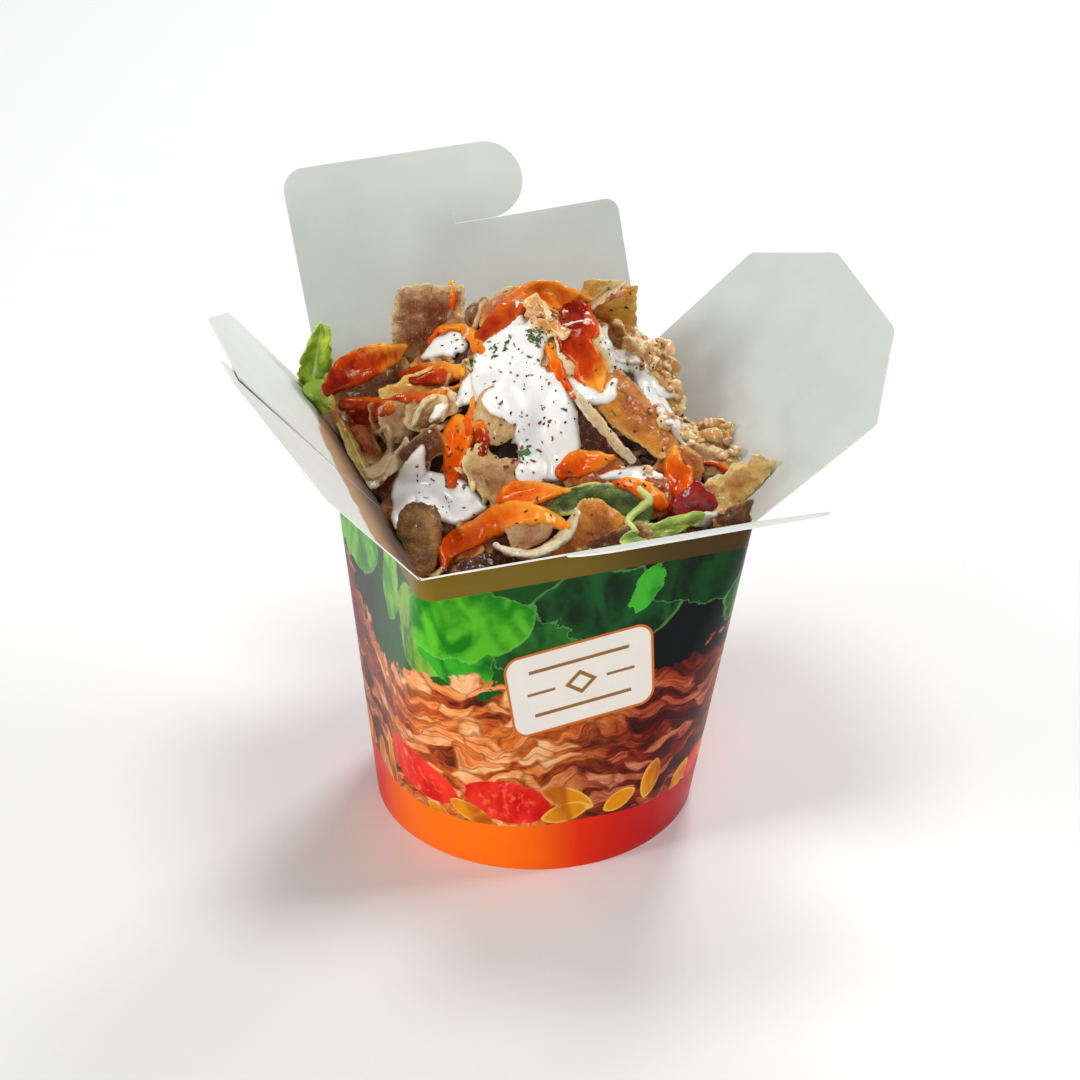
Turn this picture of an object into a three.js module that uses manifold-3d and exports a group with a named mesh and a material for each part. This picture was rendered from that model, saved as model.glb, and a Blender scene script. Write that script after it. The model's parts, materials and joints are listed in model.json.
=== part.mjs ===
// Kebab box: a paperboard takeaway box with a round base and a square mouth, its four lid flaps open,
// heaped with sliced kebab meat, lettuce, tomato, white garlic sauce and chilli sauce.
// Millimetres, +Z up. The origin is the centre of the underside and the front is towards -Y.
// Food is placed from the middle of the mouth, at the height of the fold lines.

import * as THREE from 'three';
import { mergeVertices } from 'three/addons/utils/BufferGeometryUtils.js';
import Module from 'manifold-3d';

const wasm = await Module();
wasm.setup();

// ---- driving dimensions ----

const MOUTH = 93; // side of the square mouth, outside
const BASE_DIAMETER = 88;
const CREASE_HEIGHT = 104; // height of the fold lines
const BOARD = 0.5; // paperboard thickness
const CORNER_RADIUS = 2.5; // of the mouth
const GAP = 0.35; // clearance between pieces that touch
const FOLD_GAP = 0.6; // board left out on each side of a fold line
const BASE_BOARD = 0.8; // thickness of the base disc

const MAIN_FLAP = {
  tabHeight: 65,
  shoulderHeight: 44,
  flare: 1.2, // how much wider the flap is at its tab than at its fold, on each side
  tabEnd: 10, // middle of the tab's round end, from the middle of the flap
  tabEndRadius: 10.7,
  tabCorner: 6.5,
  shoulderCorner: 3.5,
  slit: 0.7,
  slitLength: 10.5,
  slitHook: 4.5,
};
const SIDE_FLAP = { height: 60.2, shoulderHeight: 40.5, flare: 2.1, tip: 43, corner: 4 };
const LAP = { front: -11, back: -5, slip: 4 }; // the left flap's two layers of board

// Angle of each flap above the horizontal
const OPEN = { back: 54.7, front: 34.8, left: 51.7, right: 38.1 };

const HEAP = { height: 51, sink: -7, x: 3, y: 18, spread: 29 }; // the dome that the food follows
const CORE_DEPTH = 5.5; // how far the filling stays under that dome
const RIM_FILL = 2; // how far the filling stands over the fold lines at the wall
const SAUCE_ROOT = 1; // how far a sauce sinks in between the pieces under it

const FOLD_OFFSET = MOUTH / 2 - BOARD / 2; // fold lines run in the middle of the board
const QUARTER_STEPS = 8;

const box = new THREE.Group();
const food = new THREE.Group();
food.position.z = CREASE_HEIGHT;
box.add(food);

// ---- materials ----

function finish(colour, roughness) {
  return new THREE.MeshStandardMaterial({ color: colour, roughness, metalness: 0 });
}

const FINISHES = {
  print: () => finish(0x8a7a2c, 0.35),
  board: () => finish(0xd5dad4, 0.6),
  filling: () => finish(0x4a3020, 0.7),
  meat: () => finish(0xa67c52, 0.5),
  lettuce: () => finish(0x7fa83c, 0.45),
  tomato: () => finish(0x9c1f12, 0.3),
  garlicSauce: () => finish(0xf1efe8, 0.35),
  chilliSauce: () => finish(0xd6520f, 0.25),
};

// ---- meshes and solids ----

// Welds the corners and drops triangles that have shrunk to a line.
function weld(geometry) {
  const bare = geometry.clone();
  bare.deleteAttribute('normal');
  bare.deleteAttribute('uv');
  const merged = mergeVertices(bare, 1e-3);
  const kept = [];
  const index = merged.index.array;
  for (let i = 0; i < index.length; i += 3) {
    const [a, b, c] = [index[i], index[i + 1], index[i + 2]];
    if (a !== b && b !== c && c !== a) kept.push(a, b, c);
  }
  merged.setIndex(kept);
  return merged;
}

function toSolid(geometry) {
  const merged = weld(geometry);
  const vertProperties = new Float32Array(merged.attributes.position.array);
  const triVerts = new Uint32Array(merged.index.array);
  return new wasm.Manifold(new wasm.Mesh({ numProp: 3, vertProperties, triVerts }));
}

function toGeometry(solid) {
  const mesh = solid.getMesh();
  const geometry = new THREE.BufferGeometry();
  geometry.setAttribute('position', new THREE.BufferAttribute(mesh.vertProperties, 3));
  geometry.setIndex(new THREE.BufferAttribute(mesh.triVerts, 1));
  geometry.computeVertexNormals();
  return geometry;
}

function largestBody(solid) {
  return solid.decompose().reduce((best, body) => (body.volume() > best.volume() ? body : best));
}

// The largest body, welded again so that no sliver or pinched edge is left in it
function soundBody(solid) {
  return largestBody(toSolid(toGeometry(largestBody(solid))));
}

function addMesh(parent, name, geometry, material) {
  const mesh = new THREE.Mesh(geometry, material);
  mesh.name = name;
  parent.add(mesh);
  return mesh;
}

function geometryOf(points, faces) {
  const geometry = new THREE.BufferGeometry();
  geometry.setAttribute('position', new THREE.Float32BufferAttribute(points.flat(), 3));
  geometry.setIndex(faces.flat());
  return weld(geometry);
}

// Faces between two rings of points that run anticlockwise
function bandFaces(count, lower, upper) {
  const faces = [];
  for (let i = 0; i < count; i += 1) {
    const next = (i + 1) % count;
    faces.push([lower + i, lower + next, upper + next], [lower + i, upper + next, upper + i]);
  }
  return faces;
}

// A closed band through rings: the last ring joins back to the first.
function tubeThrough(rings) {
  const count = rings[0].length;
  const faces = rings.flatMap((ring, k) => bandFaces(count, k * count, ((k + 1) % rings.length) * count));
  return geometryOf(rings.flat(), faces);
}

// A closed body through rings from the bottom up, with each end closed to one point.
function loft(rings, bottomPoint, topPoint) {
  const count = rings[0].length;
  const faces = [];
  for (let k = 0; k + 1 < rings.length; k += 1) faces.push(...bandFaces(count, k * count, (k + 1) * count));
  const last = (rings.length - 1) * count;
  const bottom = rings.length * count;
  for (let i = 0; i < count; i += 1) {
    const next = (i + 1) % count;
    faces.push([bottom, next, i], [bottom + 1, last + i, last + next]);
  }
  return geometryOf([...rings.flat(), bottomPoint, topPoint], faces);
}

// ---- the box ----

// One level of the box: straight lines lead from the round base to the square mouth with rounded corners.
function boxRing(inset, z) {
  const share = z / CREASE_HEIGHT;
  const ring = [];
  for (let quarter = 0; quarter < 4; quarter += 1) {
    for (let step = 0; step <= QUARTER_STEPS; step += 1) {
      const angle = ((quarter + step / QUARTER_STEPS) * Math.PI) / 2;
      const middle = ((quarter + 0.5) * Math.PI) / 2;
      const corner = MOUTH / 2 - CORNER_RADIUS;
      const baseReach = BASE_DIAMETER / 2 - inset;
      const cornerReach = CORNER_RADIUS - inset;
      const topX = Math.sign(Math.cos(middle)) * corner + cornerReach * Math.cos(angle);
      const topY = Math.sign(Math.sin(middle)) * corner + cornerReach * Math.sin(angle);
      const x = (1 - share) * baseReach * Math.cos(angle) + share * topX;
      const y = (1 - share) * baseReach * Math.sin(angle) + share * topY;
      ring.push([x, y, z]);
    }
  }
  return ring;
}

function buildWall() {
  const top = CREASE_HEIGHT - FOLD_GAP;
  const rings = [boxRing(0, 0), boxRing(0, top), boxRing(BOARD, top), boxRing(BOARD, 0)];
  addMesh(box, 'wall', tubeThrough(rings), FINISHES.print());
}

function buildBase() {
  const inset = BOARD + GAP;
  const rings = [boxRing(inset, 0), boxRing(inset, BASE_BOARD)];
  addMesh(box, 'base', loft(rings, [0, 0, 0], [0, 0, BASE_BOARD]), FINISHES.board());
}

// ---- the lid flaps ----

// Half-width of a flap at a height above its fold
function flapEdge(height, flare, fullHeight) {
  return FOLD_OFFSET - GAP + (flare * height) / fullHeight;
}

// The main flap's outline: a hook tab with a round end, a slit under it, and a lower shoulder.
function mainFlapShape() {
  const f = MAIN_FLAP;
  const foot = flapEdge(0, f.flare, f.tabHeight);
  const tabSide = flapEdge(f.tabHeight - f.tabCorner, f.flare, f.tabHeight);
  const shoulderSide = flapEdge(f.shoulderHeight - f.shoulderCorner, f.flare, f.tabHeight);
  const endMiddle = f.tabHeight - f.tabEndRadius;
  const slitTop = endMiddle - f.tabEndRadius;
  const slitTip = f.tabEnd - f.slitLength;
  const shape = new THREE.Shape();
  shape.moveTo(-foot, FOLD_GAP);
  shape.lineTo(-tabSide, f.tabHeight - f.tabCorner);
  shape.absarc(-tabSide + f.tabCorner, f.tabHeight - f.tabCorner, f.tabCorner, Math.PI, Math.PI / 2, true);
  shape.lineTo(f.tabEnd, f.tabHeight);
  shape.absarc(f.tabEnd, endMiddle, f.tabEndRadius, Math.PI / 2, -Math.PI / 2, true);
  shape.lineTo(slitTip, slitTop);
  shape.lineTo(slitTip, slitTop + f.slitHook);
  shape.lineTo(slitTip - f.slit, slitTop + f.slitHook);
  shape.lineTo(slitTip - f.slit, slitTop - f.slit);
  shape.lineTo(f.tabEnd + 3, slitTop - f.slit);
  shape.lineTo(shoulderSide - f.shoulderCorner, f.shoulderHeight);
  const cornerHeight = f.shoulderHeight - f.shoulderCorner;
  shape.absarc(shoulderSide - f.shoulderCorner, cornerHeight, f.shoulderCorner, Math.PI / 2, 0, true);
  shape.lineTo(foot, FOLD_GAP);
  return shape;
}

// The side flap's outline, or the stretch of it between two places along the fold.
function sideFlapShape(from, to, slip) {
  const f = SIDE_FLAP;
  const foot = flapEdge(0, f.flare, f.shoulderHeight);
  const shoulder = flapEdge(f.shoulderHeight, f.flare, f.shoulderHeight);
  const height = f.height + slip;
  const halfTip = f.tip / 2 - slip;
  const shape = new THREE.Shape();
  const halves = [
    [to < foot, to, 1],
    [from > -foot, from, -1],
  ];
  const corners = halves.map(([cut, end, side]) => {
    if (cut) return [[end, FOLD_GAP], [end, height]];
    return [
      [side * foot, FOLD_GAP],
      [side * shoulder, f.shoulderHeight],
      [side * (halfTip + f.corner * 0.8), height - f.corner * 0.55],
      [side * (halfTip - f.corner * 0.4), height],
    ];
  });
  const outline = [...corners[0], ...corners[1].reverse()];
  shape.moveTo(...outline[0]);
  outline.slice(1).forEach(([u, v]) => shape.lineTo(u, v));
  return shape;
}

function plate(shape, level) {
  const geometry = new THREE.ExtrudeGeometry(shape, { depth: BOARD, bevelEnabled: false, curveSegments: 5 });
  return geometry.translate(0, 0, level - BOARD / 2);
}

// Hangs a flap on its fold line. The turn is measured from the back of the box.
function hangFlap(name, geometry, turn, open) {
  const side = new THREE.Group();
  side.rotation.z = turn;
  box.add(side);
  const flap = addMesh(side, name, geometry, FINISHES.board());
  flap.position.set(0, FOLD_OFFSET, CREASE_HEIGHT);
  flap.rotation.x = THREE.MathUtils.degToRad(open);
}

function buildFlaps() {
  const foot = FOLD_OFFSET;
  const inner = toSolid(plate(sideFlapShape(LAP.front, foot, 0), 0));
  const outer = toSolid(plate(sideFlapShape(-foot, LAP.back, LAP.slip), -BOARD + 0.02));
  hangFlap('flap_back', plate(mainFlapShape(), 0), 0, OPEN.back);
  hangFlap('flap_front', plate(mainFlapShape(), 0), Math.PI, OPEN.front);
  hangFlap('flap_left', toGeometry(inner.add(outer)), Math.PI / 2, OPEN.left);
  hangFlap('flap_right', plate(sideFlapShape(-foot, foot, 0), 0), -Math.PI / 2, OPEN.right);
}

// ---- the food ----

// Height of the dome that the food follows, from the fold lines
function heapHeight(x, y) {
  const away = (x - HEAP.x) ** 2 + (y - HEAP.y) ** 2;
  return HEAP.sink + HEAP.height * Math.exp(-away / (2 * HEAP.spread ** 2));
}

// The filling stays a set depth under the dome, measured square to it.
function fillingHeight(x, y) {
  const dome = heapHeight(x, y) - HEAP.sink;
  const slope = (Math.hypot(x - HEAP.x, y - HEAP.y) * dome) / HEAP.spread ** 2;
  return HEAP.sink + dome - CORE_DEPTH * Math.hypot(1, slope);
}

// The space that food may fill: inside the wall, and between the open flaps above it.
function roomForFood() {
  const inset = BOARD + GAP;
  const floor = BASE_BOARD + GAP;
  const rings = [boxRing(inset, floor), boxRing(inset, CREASE_HEIGHT)];
  const inside = loft(rings, [0, 0, floor], [0, 0, CREASE_HEIGHT]);
  inside.translate(0, 0, -CREASE_HEIGHT);
  const top = 70;
  const reach = (open, height) => {
    const angle = THREE.MathUtils.degToRad(open);
    return FOLD_OFFSET + height / Math.tan(angle) - (BOARD / 2 + GAP) / Math.sin(angle);
  };
  const level = (height) => [
    [-reach(OPEN.left, height), -reach(OPEN.front, height), height],
    [reach(OPEN.right, height), -reach(OPEN.front, height), height],
    [reach(OPEN.right, height), reach(OPEN.back, height), height],
    [-reach(OPEN.left, height), reach(OPEN.back, height), height],
  ];
  const above = loft([level(-0.5), level(top)], [0, 0, -0.5], [0, 0, top]);
  return toSolid(inside).add(toSolid(above));
}

// A curled slice: a sheet with rounded corners, bent along and across, twisted and rippled.
// Its size is length, width and thickness, and its curl is in degrees over the whole sheet.
function sheet(piece, grow) {
  const { curl, twist, ripple, taper } = piece;
  const [length, width, thickness] = piece.size.map((measure) => measure + 2 * grow);
  const along = Math.min(7, Math.max(3, Math.round(piece.size[0] / 4.5)));
  const across = Math.min(4, Math.max(2, Math.round(piece.size[1] / 5)));
  const [bendAlong, bendAcross] = curl.map((angle) => THREE.MathUtils.degToRad(angle));
  const turn = THREE.MathUtils.degToRad(twist);
  const bent = (distance, bend, span) => {
    if (Math.abs(bend) < 0.01) return [distance, 0];
    const radius = span / bend;
    return [radius * Math.sin(distance / radius), -radius * (1 - Math.cos(distance / radius))];
  };
  const middle = (s, t) => {
    const x = (s * length * Math.sqrt(1 - 0.3 * t * t)) / 2;
    const y = (t * width * (1 + taper * s) * Math.sqrt(1 - 0.3 * s * s)) / 2;
    const [u, dropAlong] = bent(x, bendAlong, piece.size[0]);
    const [v, dropAcross] = bent(y, bendAcross, piece.size[1]);
    const [phase, shift] = piece.at;
    const wave = ripple * Math.sin(3.1 * s + 1.7 * t + phase) * Math.cos(2.3 * t - 1.3 * s + shift);
    const lift = dropAlong + dropAcross + wave;
    const roll = turn * s;
    const [cos, sin] = [Math.cos(roll), Math.sin(roll)];
    return new THREE.Vector3(u, v * cos - lift * sin, v * sin + lift * cos);
  };
  const step = 0.02;
  const skin = (s, t, side) => {
    const acrossStep = middle(s, t + step).sub(middle(s, t - step));
    const normal = middle(s + step, t).sub(middle(s - step, t)).cross(acrossStep).normalize();
    return middle(s, t).addScaledVector(normal, (side * thickness) / 2).toArray();
  };
  const points = [];
  const faces = [];
  const columns = across + 1;
  const bottom = (along + 1) * columns;
  for (const side of [1, -1]) {
    for (let i = 0; i <= along; i += 1) {
      for (let j = 0; j <= across; j += 1) {
        points.push(skin((2 * i) / along - 1, (2 * j) / across - 1, side));
      }
    }
  }
  for (let i = 0; i < along; i += 1) {
    for (let j = 0; j < across; j += 1) {
      const a = i * columns + j;
      faces.push([a, a + columns, a + columns + 1], [a, a + columns + 1, a + 1]);
      const b = bottom + a;
      faces.push([b, b + columns + 1, b + columns], [b, b + 1, b + columns + 1]);
    }
  }
  const wallFace = (a, b) => faces.push([a, b, b + bottom], [a, b + bottom, a + bottom]);
  for (let i = 0; i < along; i += 1) {
    wallFace((i + 1) * columns, i * columns);
    wallFace(i * columns + across, (i + 1) * columns + across);
  }
  for (let j = 0; j < across; j += 1) {
    wallFace(j, j + 1);
    wallFace(along * columns + j + 1, along * columns + j);
  }
  const geometry = geometryOf(points, faces);
  const facing = new THREE.Vector3(...piece.facing);
  const xAxis = new THREE.Vector3(...piece.along).normalize();
  const yAxis = facing.clone().cross(xAxis).normalize();
  const zAxis = xAxis.clone().cross(yAxis);
  const place = new THREE.Matrix4().makeBasis(xAxis, yAxis, zAxis).setPosition(...piece.at);
  return geometry.applyMatrix4(place);
}

function slice(name, at, along, facing, size, curl, twist = 0, ripple = 0.5, taper = 0, look = 'meat') {
  const piece = { at, along, facing, size, curl, twist, ripple, taper };
  return { name, look, solid: (grow) => toSolid(sheet(piece, grow)) };
}

// One lobe of sauce inside a smooth closed outline in plan, lying on whatever is below it.
function lobe(outline, thickness, grow, below) {
  const curve = new THREE.CatmullRomCurve3(outline.map(([x, y]) => new THREE.Vector3(x, y, 0)), true);
  const rim = curve.getPoints(13).slice(0, -1);
  if (THREE.ShapeUtils.isClockWise(rim)) rim.reverse();
  const middle = rim.reduce((sum, p) => sum.add(p), new THREE.Vector3()).divideScalar(rim.length);
  const level = (p, lift) => [p.x, p.y, topOf(below, p.x, p.y) + lift];
  const ringAt = (share, lift) => rim.map((p) => {
    const [x, y, z] = level(middle.clone().lerp(p, share), lift);
    const out = p.clone().sub(middle).setLength(grow);
    return [x + out.x, y + out.y, z];
  });
  const rise = 2 * grow; // the sauce lies on slopes, where a lift counts for about half
  const [low, high] = [-SAUCE_ROOT - rise, thickness + rise];
  const rings = [ringAt(0.6, low), ringAt(1, low), ringAt(1, 0.5 * thickness + rise), ringAt(0.6, high)];
  return toSolid(loft(rings, level(middle, low), level(middle, high)));
}

// Poured sauce: its lobes run into one another.
function pour(name, look, thickness, ...outlines) {
  const build = (grow, below) => {
    const lobes = outlines.map((outline) => lobe(outline, thickness, grow, below));
    return lobes.reduce((sum, next) => sum.add(next));
  };
  return { name, look, solid: build };
}

// Height of the highest mesh, or of the dome, under a place in plan and close around it
function topOf(meshes, x, y) {
  const reach = 1.5;
  const spots = [[0, 0], [reach, 0], [-reach, 0], [0, reach], [0, -reach]];
  const heights = spots.map(([dx, dy]) => {
    const ray = new THREE.Raycaster(new THREE.Vector3(x + dx, y + dy, 90), new THREE.Vector3(0, 0, -1));
    const hit = ray.intersectObjects(meshes)[0];
    return Math.max(hit ? hit.point.z : -90, fillingHeight(x + dx, y + dy) + SAUCE_ROOT + 2 * GAP);
  });
  return heights.reduce((sum, height) => sum + height, 0) / heights.length;
}

// Pieces in the order that they lie, from the top of the heap down.
const PIECES = [
  slice('meat_pale_strip', [13, -18, 19], [0.48, -0.56, -0.68], [-0.3, -0.5, 0.8],
    [27, 5, 2.2], [30, 0], 25, 0.8),
  slice('meat_standing_back', [-20, 33, 29], [0.05, 0.1, 1], [-0.25, -0.95, 0.1],
    [24, 21, 2.4], [-14, -24], 6),
  slice('meat_corner_back', [30, 32, 22], [0.05, 0.12, 1], [-0.4, -0.9, 0.15],
    [24, 21, 2.4], [-40, 14], 4),
  slice('meat_top_back', [2, 19, 38], [1, 0, 0.05], [-0.1, -0.3, 0.95], [37, 19, 2.6], [62, 34], 8, 1),
  slice('meat_tongue', [14, -1, 30], [0.15, -0.6, -0.78], [0, -0.75, 0.65], [24, 17, 2.6], [24, 34], 6),
  slice('meat_broad_right', [25, -11, 19], [0.62, -0.5, -0.6], [0.45, -0.5, 0.72],
    [33, 19, 2.8], [16, 48], -8, 0.6),
  slice('meat_oval', [-14, -8, 22], [-0.1, -0.6, -0.78], [-0.15, -0.75, 0.6],
    [17, 12.5, 4.5], [34, 50], 0, 0.3),
  slice('meat_dome_left', [-38.5, 28, 19], [0.95, 0.05, 0.15], [-0.2, -0.6, 0.78],
    [27, 18, 2.6], [44, 60], 0, 0.7),
  slice('meat_yellow_left', [-30, 15, 19], [0.95, 0.1, 0.2], [-0.2, -0.8, 0.55],
    [20, 10, 2.4], [30, 22], 8),
  slice('meat_roll_front', [-42, -30, 0.5], [0.22, 0.45, 0.87], [-0.3, -0.85, 0.45],
    [23, 17, 2.6], [14, 160], 0, 0.3),
  slice('meat_curl_left', [-41, 6, 8], [0.75, -0.45, 0.5], [-0.25, -0.7, 0.65],
    [20, 8, 2.0], [-50, 10], 30, 1),
  slice('meat_strip_left', [-43, 19, 6], [0.1, -0.7, -0.6], [-0.65, -0.5, 0.6],
    [20, 7.5, 2.2], [40, 16], 14, 0.6),
  slice('meat_left_upper', [-36, 13, 12], [0.3, -0.5, -0.75], [-0.2, -0.75, 0.6],
    [16, 11, 2.4], [20, 40], 0),
  slice('meat_left_inner', [-27, 7, 18], [0.8, -0.3, 0.4], [-0.2, -0.7, 0.7],
    [17, 10, 2.6], [-34, 20], 18, 0.8),
  slice('meat_under_strip', [9, -15, 15], [0.3, -0.5, -0.75], [0, -0.8, 0.6],
    [18, 15, 2.4], [10, -20], 0),
  slice('meat_ragged_back', [37.5, 14, 18], [0.8, 0.3, -0.35], [0.15, -0.6, 0.78],
    [18, 13, 3.4], [20, 24], 12, 1.3),
  slice('meat_ragged_middle', [37, 2, 15], [0.6, -0.35, -0.6], [0.2, -0.6, 0.75],
    [17, 10, 3.2], [24, 20], -14, 1.2),
  slice('meat_ragged_right', [47, -10, 4.5], [0.9, -0.15, -0.1], [0.05, -0.6, 0.8],
    [16, 12, 3.0], [-30, 16], 14, 1.2),
  slice('meat_tip_right', [46, -34, 4.5], [0.86, 0.12, 0.42], [-0.2, -0.75, 0.62],
    [23, 12, 2.6], [-22, 16], 10, 0.8, -0.25),
  slice('meat_under_tip', [43, -41, -0.5], [0.95, 0, 0.2], [0, -0.7, 0.7], [15, 8, 2.4], [14, 20], 0),
  slice('meat_right_upper', [37, -13, 9], [0.7, -0.4, -0.5], [0.3, -0.5, 0.8],
    [20, 10, 2.6], [18, 26], 10, 0.9),
  slice('meat_right_lower', [42, -21, 5], [0.8, -0.3, -0.2], [0.1, -0.6, 0.8],
    [18, 11, 2.6], [-18, 20], -10, 0.9),
  slice('meat_triangle', [3, -38, 2], [-0.05, 0.45, 0.85], [0.05, -0.9, 0.45],
    [21, 22, 2.4], [8, 22], 0, 0.4, -0.55),
  slice('meat_crescent', [-12, -40, 0.5], [0.97, 0.05, 0.22], [0, -0.55, 0.8],
    [27, 5, 2.6], [-86, 0], 0, 0.4),
  slice('meat_nub_front', [-13, -36, 3], [0.85, 0.1, 0.3], [-0.1, -0.7, 0.7],
    [13, 10, 3.4], [20, 50], 0, 0.5),
  slice('meat_fold_middle', [-18, -18, 9], [0.45, -0.6, -0.65], [-0.1, -0.75, 0.65],
    [20, 12, 2.6], [14, 30], -10, 0.6),
  slice('meat_front_broad', [-11, -31, 2], [0.95, -0.05, 0.2], [-0.1, -0.75, 0.65],
    [30, 15, 2.8], [30, 36], 6, 0.8),
  slice('meat_orange_middle', [9, -24, 9], [0.9, -0.2, -0.1], [0, -0.7, 0.7],
    [18, 12, 2.6], [24, 36], 0, 0.6),
  slice('meat_orange_front', [20, -31, 4], [0.9, -0.1, -0.15], [0.05, -0.7, 0.7],
    [19, 13, 2.6], [24, 36], 8, 0.6),
  slice('meat_orange_right', [31, -25, 5], [0.7, 0.2, 0.45], [0.1, -0.75, 0.65],
    [18, 13, 2.6], [24, 40], 0, 0.6),
  slice('meat_back_left', [-17, 37.5, 17.5], [0.9, -0.1, 0.1], [-0.1, 0.7, 0.7],
    [24, 16, 2.6], [26, 30], 8, 0.8),
  slice('meat_back_middle', [5, 38, 19.5], [0.9, 0.1, -0.1], [0, 0.7, 0.7],
    [25, 17, 2.6], [26, 34], -8, 0.8),
  slice('meat_back_right', [26, 36.5, 14], [0.8, 0.2, -0.4], [0.2, 0.7, 0.65],
    [23, 15, 2.6], [24, 30], 6, 0.8),
  slice('tomato', [32, -35, 1], [0.75, 0, 0.6], [0.05, -0.8, 0.6],
    [13, 10, 4], [20, 50], 0, 0.3, 0, 'tomato'),
  slice('lettuce_left', [-49.5, 40, 17.5], [0.15, 0, 1], [-0.35, -0.9, 0.2],
    [24, 10.5, 1.2], [24, -40], 20, 1.3, 0, 'lettuce'),
  slice('lettuce_tail', [-47, 31, 8], [0.8, -0.5, 0.05], [-0.3, -0.6, 0.75],
    [15, 10, 1.2], [60, 30], 0, 1.2, 0, 'lettuce'),
  slice('lettuce_stem', [-44.6, 19, 1.5], [0.04, -0.97, -0.2], [0.6, -0.15, 0.75],
    [32, 6, 1.6], [-20, 30], 10, 0.3, 0, 'lettuce'),
  slice('lettuce_front', [7, -33, 6], [0.97, -0.15, -0.12], [0, -0.55, 0.82],
    [30, 12, 1.2], [30, 24], 14, 1.2, 0, 'lettuce'),
  slice('lettuce_rim', [21, -41, -0.5], [0.95, 0.1, 0.1], [0, -0.8, 0.55],
    [24, 7, 1.2], [-50, 30], 0, 0.9, 0, 'lettuce'),
  pour(
    'garlic_main', 'garlicSauce', 3.6,
    [[-2, 12], [4, 2], [6, -8], [7, -17], [2, -23], [-7, -24], [-11, -19], [-8, -12], [-7, -5], [-8, 3]],
    [[-6, 9], [-15, 7], [-21, 4], [-22, 0], [-14, -3], [-6, -3]],
  ),
  pour(
    'garlic_left', 'garlicSauce', 3,
    [[-32, 0], [-38, -5], [-43, -11], [-44, -19], [-40, -17], [-35, -12], [-31, -8]],
    [[-35, -9], [-29, -9], [-23, -15], [-20, -23], [-26, -26], [-33, -27], [-35, -18]],
  ),
  pour('garlic_dollop', 'garlicSauce', 2.4,
    [[-26, 20], [-22, 24], [-15, 18], [-15, 12], [-21, 15]]),
  pour('garlic_right', 'garlicSauce', 2, [[20, 11], [25, 8], [30, 1], [33, -8], [28, -5], [22, 3]]),
  pour('chilli_top', 'chilliSauce', 2.4,
    [[-12, 12], [-4, 19], [6, 21], [17, 17], [14, 12], [4, 12], [-6, 9]]),
  pour('chilli_tongue', 'chilliSauce', 2.4,
    [[6, 8], [14, 9], [19, 1], [20, -7], [14, -8], [9, -2]]),
  pour('chilli_dome', 'chilliSauce', 2.2,
    [[-49, 26], [-44, 33], [-36, 33], [-28, 29], [-31, 23], [-41, 21]]),
  pour('chilli_inner', 'chilliSauce', 2,
    [[-30, 17], [-23, 17], [-16, 12], [-18, 7], [-25, 8], [-31, 12]]),
  pour('chilli_strip', 'chilliSauce', 2.4,
    [[-18, -4], [-22, -4], [-27, -10], [-29, -17], [-25, -19], [-21, -13]]),
  pour(
    'chilli_front', 'chilliSauce', 2.4,
    [[-17, -24], [-8, -23], [-2, -27], [3, -32], [-2, -35], [-12, -34], [-20, -30]],
    [[-16, -27], [-11, -33], [-21, -37], [-31, -40], [-39, -41], [-38, -37], [-32, -32], [-24, -29]],
  ),
  pour('chilli_middle', 'chilliSauce', 2.2,
    [[4, -20], [9, -20], [14, -24], [12, -28], [6, -27], [2, -24]]),
  pour('chilli_right', 'chilliSauce', 2.2,
    [[13, -29], [18, -27], [26, -29], [28, -34], [22, -36], [15, -33]]),
  pour('chilli_peak', 'chilliSauce', 2.2,
    [[25, -24], [29, -19], [34, -22], [36, -27], [30, -31], [25, -29]]),
];

// The filling under the visible pieces: an uneven heap of chopped meat and salad.
function fillingGeometry() {
  const inset = BOARD + 2 * GAP;
  const floor = BASE_BOARD + GAP;
  const lumps = (x, y) => 1.1 * Math.sin(0.45 * x + 1) * Math.cos(0.5 * y);
  const unevenness = (x, y) => lumps(x, y) + 0.7 * Math.sin(0.9 * x + 0.7 * y);
  const coarse = (ring) => ring.filter((point, i) => (i % (QUARTER_STEPS + 1)) % 2 === 0);
  const rings = [coarse(boxRing(inset, floor)), coarse(boxRing(inset, CREASE_HEIGHT * 0.9))];
  const rim = coarse(boxRing(inset, CREASE_HEIGHT));
  const levels = 7;
  for (let k = 0; k < levels; k += 1) {
    const share = 1 - k / levels;
    rings.push(rim.map(([x, y]) => {
      const [u, v] = [x * share, y * share];
      const edge = Math.min(1, (1 - share) * 3.5);
      const dome = fillingHeight(u, v) + edge * unevenness(u, v);
      const height = Math.min(dome, RIM_FILL) * (1 - edge) + dome * edge;
      return [u, v, CREASE_HEIGHT + height];
    }));
  }
  const peak = CREASE_HEIGHT + fillingHeight(0, 0);
  return loft(rings, [0, 0, floor], [0, 0, peak]).translate(0, 0, -CREASE_HEIGHT);
}

// Lays the pieces from the top down: each is cut back to the room and to what lies over it.
function buildFood() {
  const room = roomForFood();
  const laid = [];
  let taken = null;
  for (const piece of PIECES) {
    const inRoom = piece.solid(0, laid).intersect(room);
    const clear = taken ? inRoom.subtract(taken) : inRoom;
    const body = soundBody(clear.simplify(0.06));
    const claimed = piece.solid(GAP, laid);
    laid.push(addMesh(food, piece.name, toGeometry(body), FINISHES[piece.look]()));
    taken = taken ? taken.add(claimed) : claimed;
  }
  const filling = toSolid(fillingGeometry()).intersect(room).subtract(taken);
  addMesh(food, 'filling', toGeometry(soundBody(filling.simplify(0.1))), FINISHES.filling());
}

buildWall();
buildBase();
buildFlaps();
buildFood();

export default box;
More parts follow.
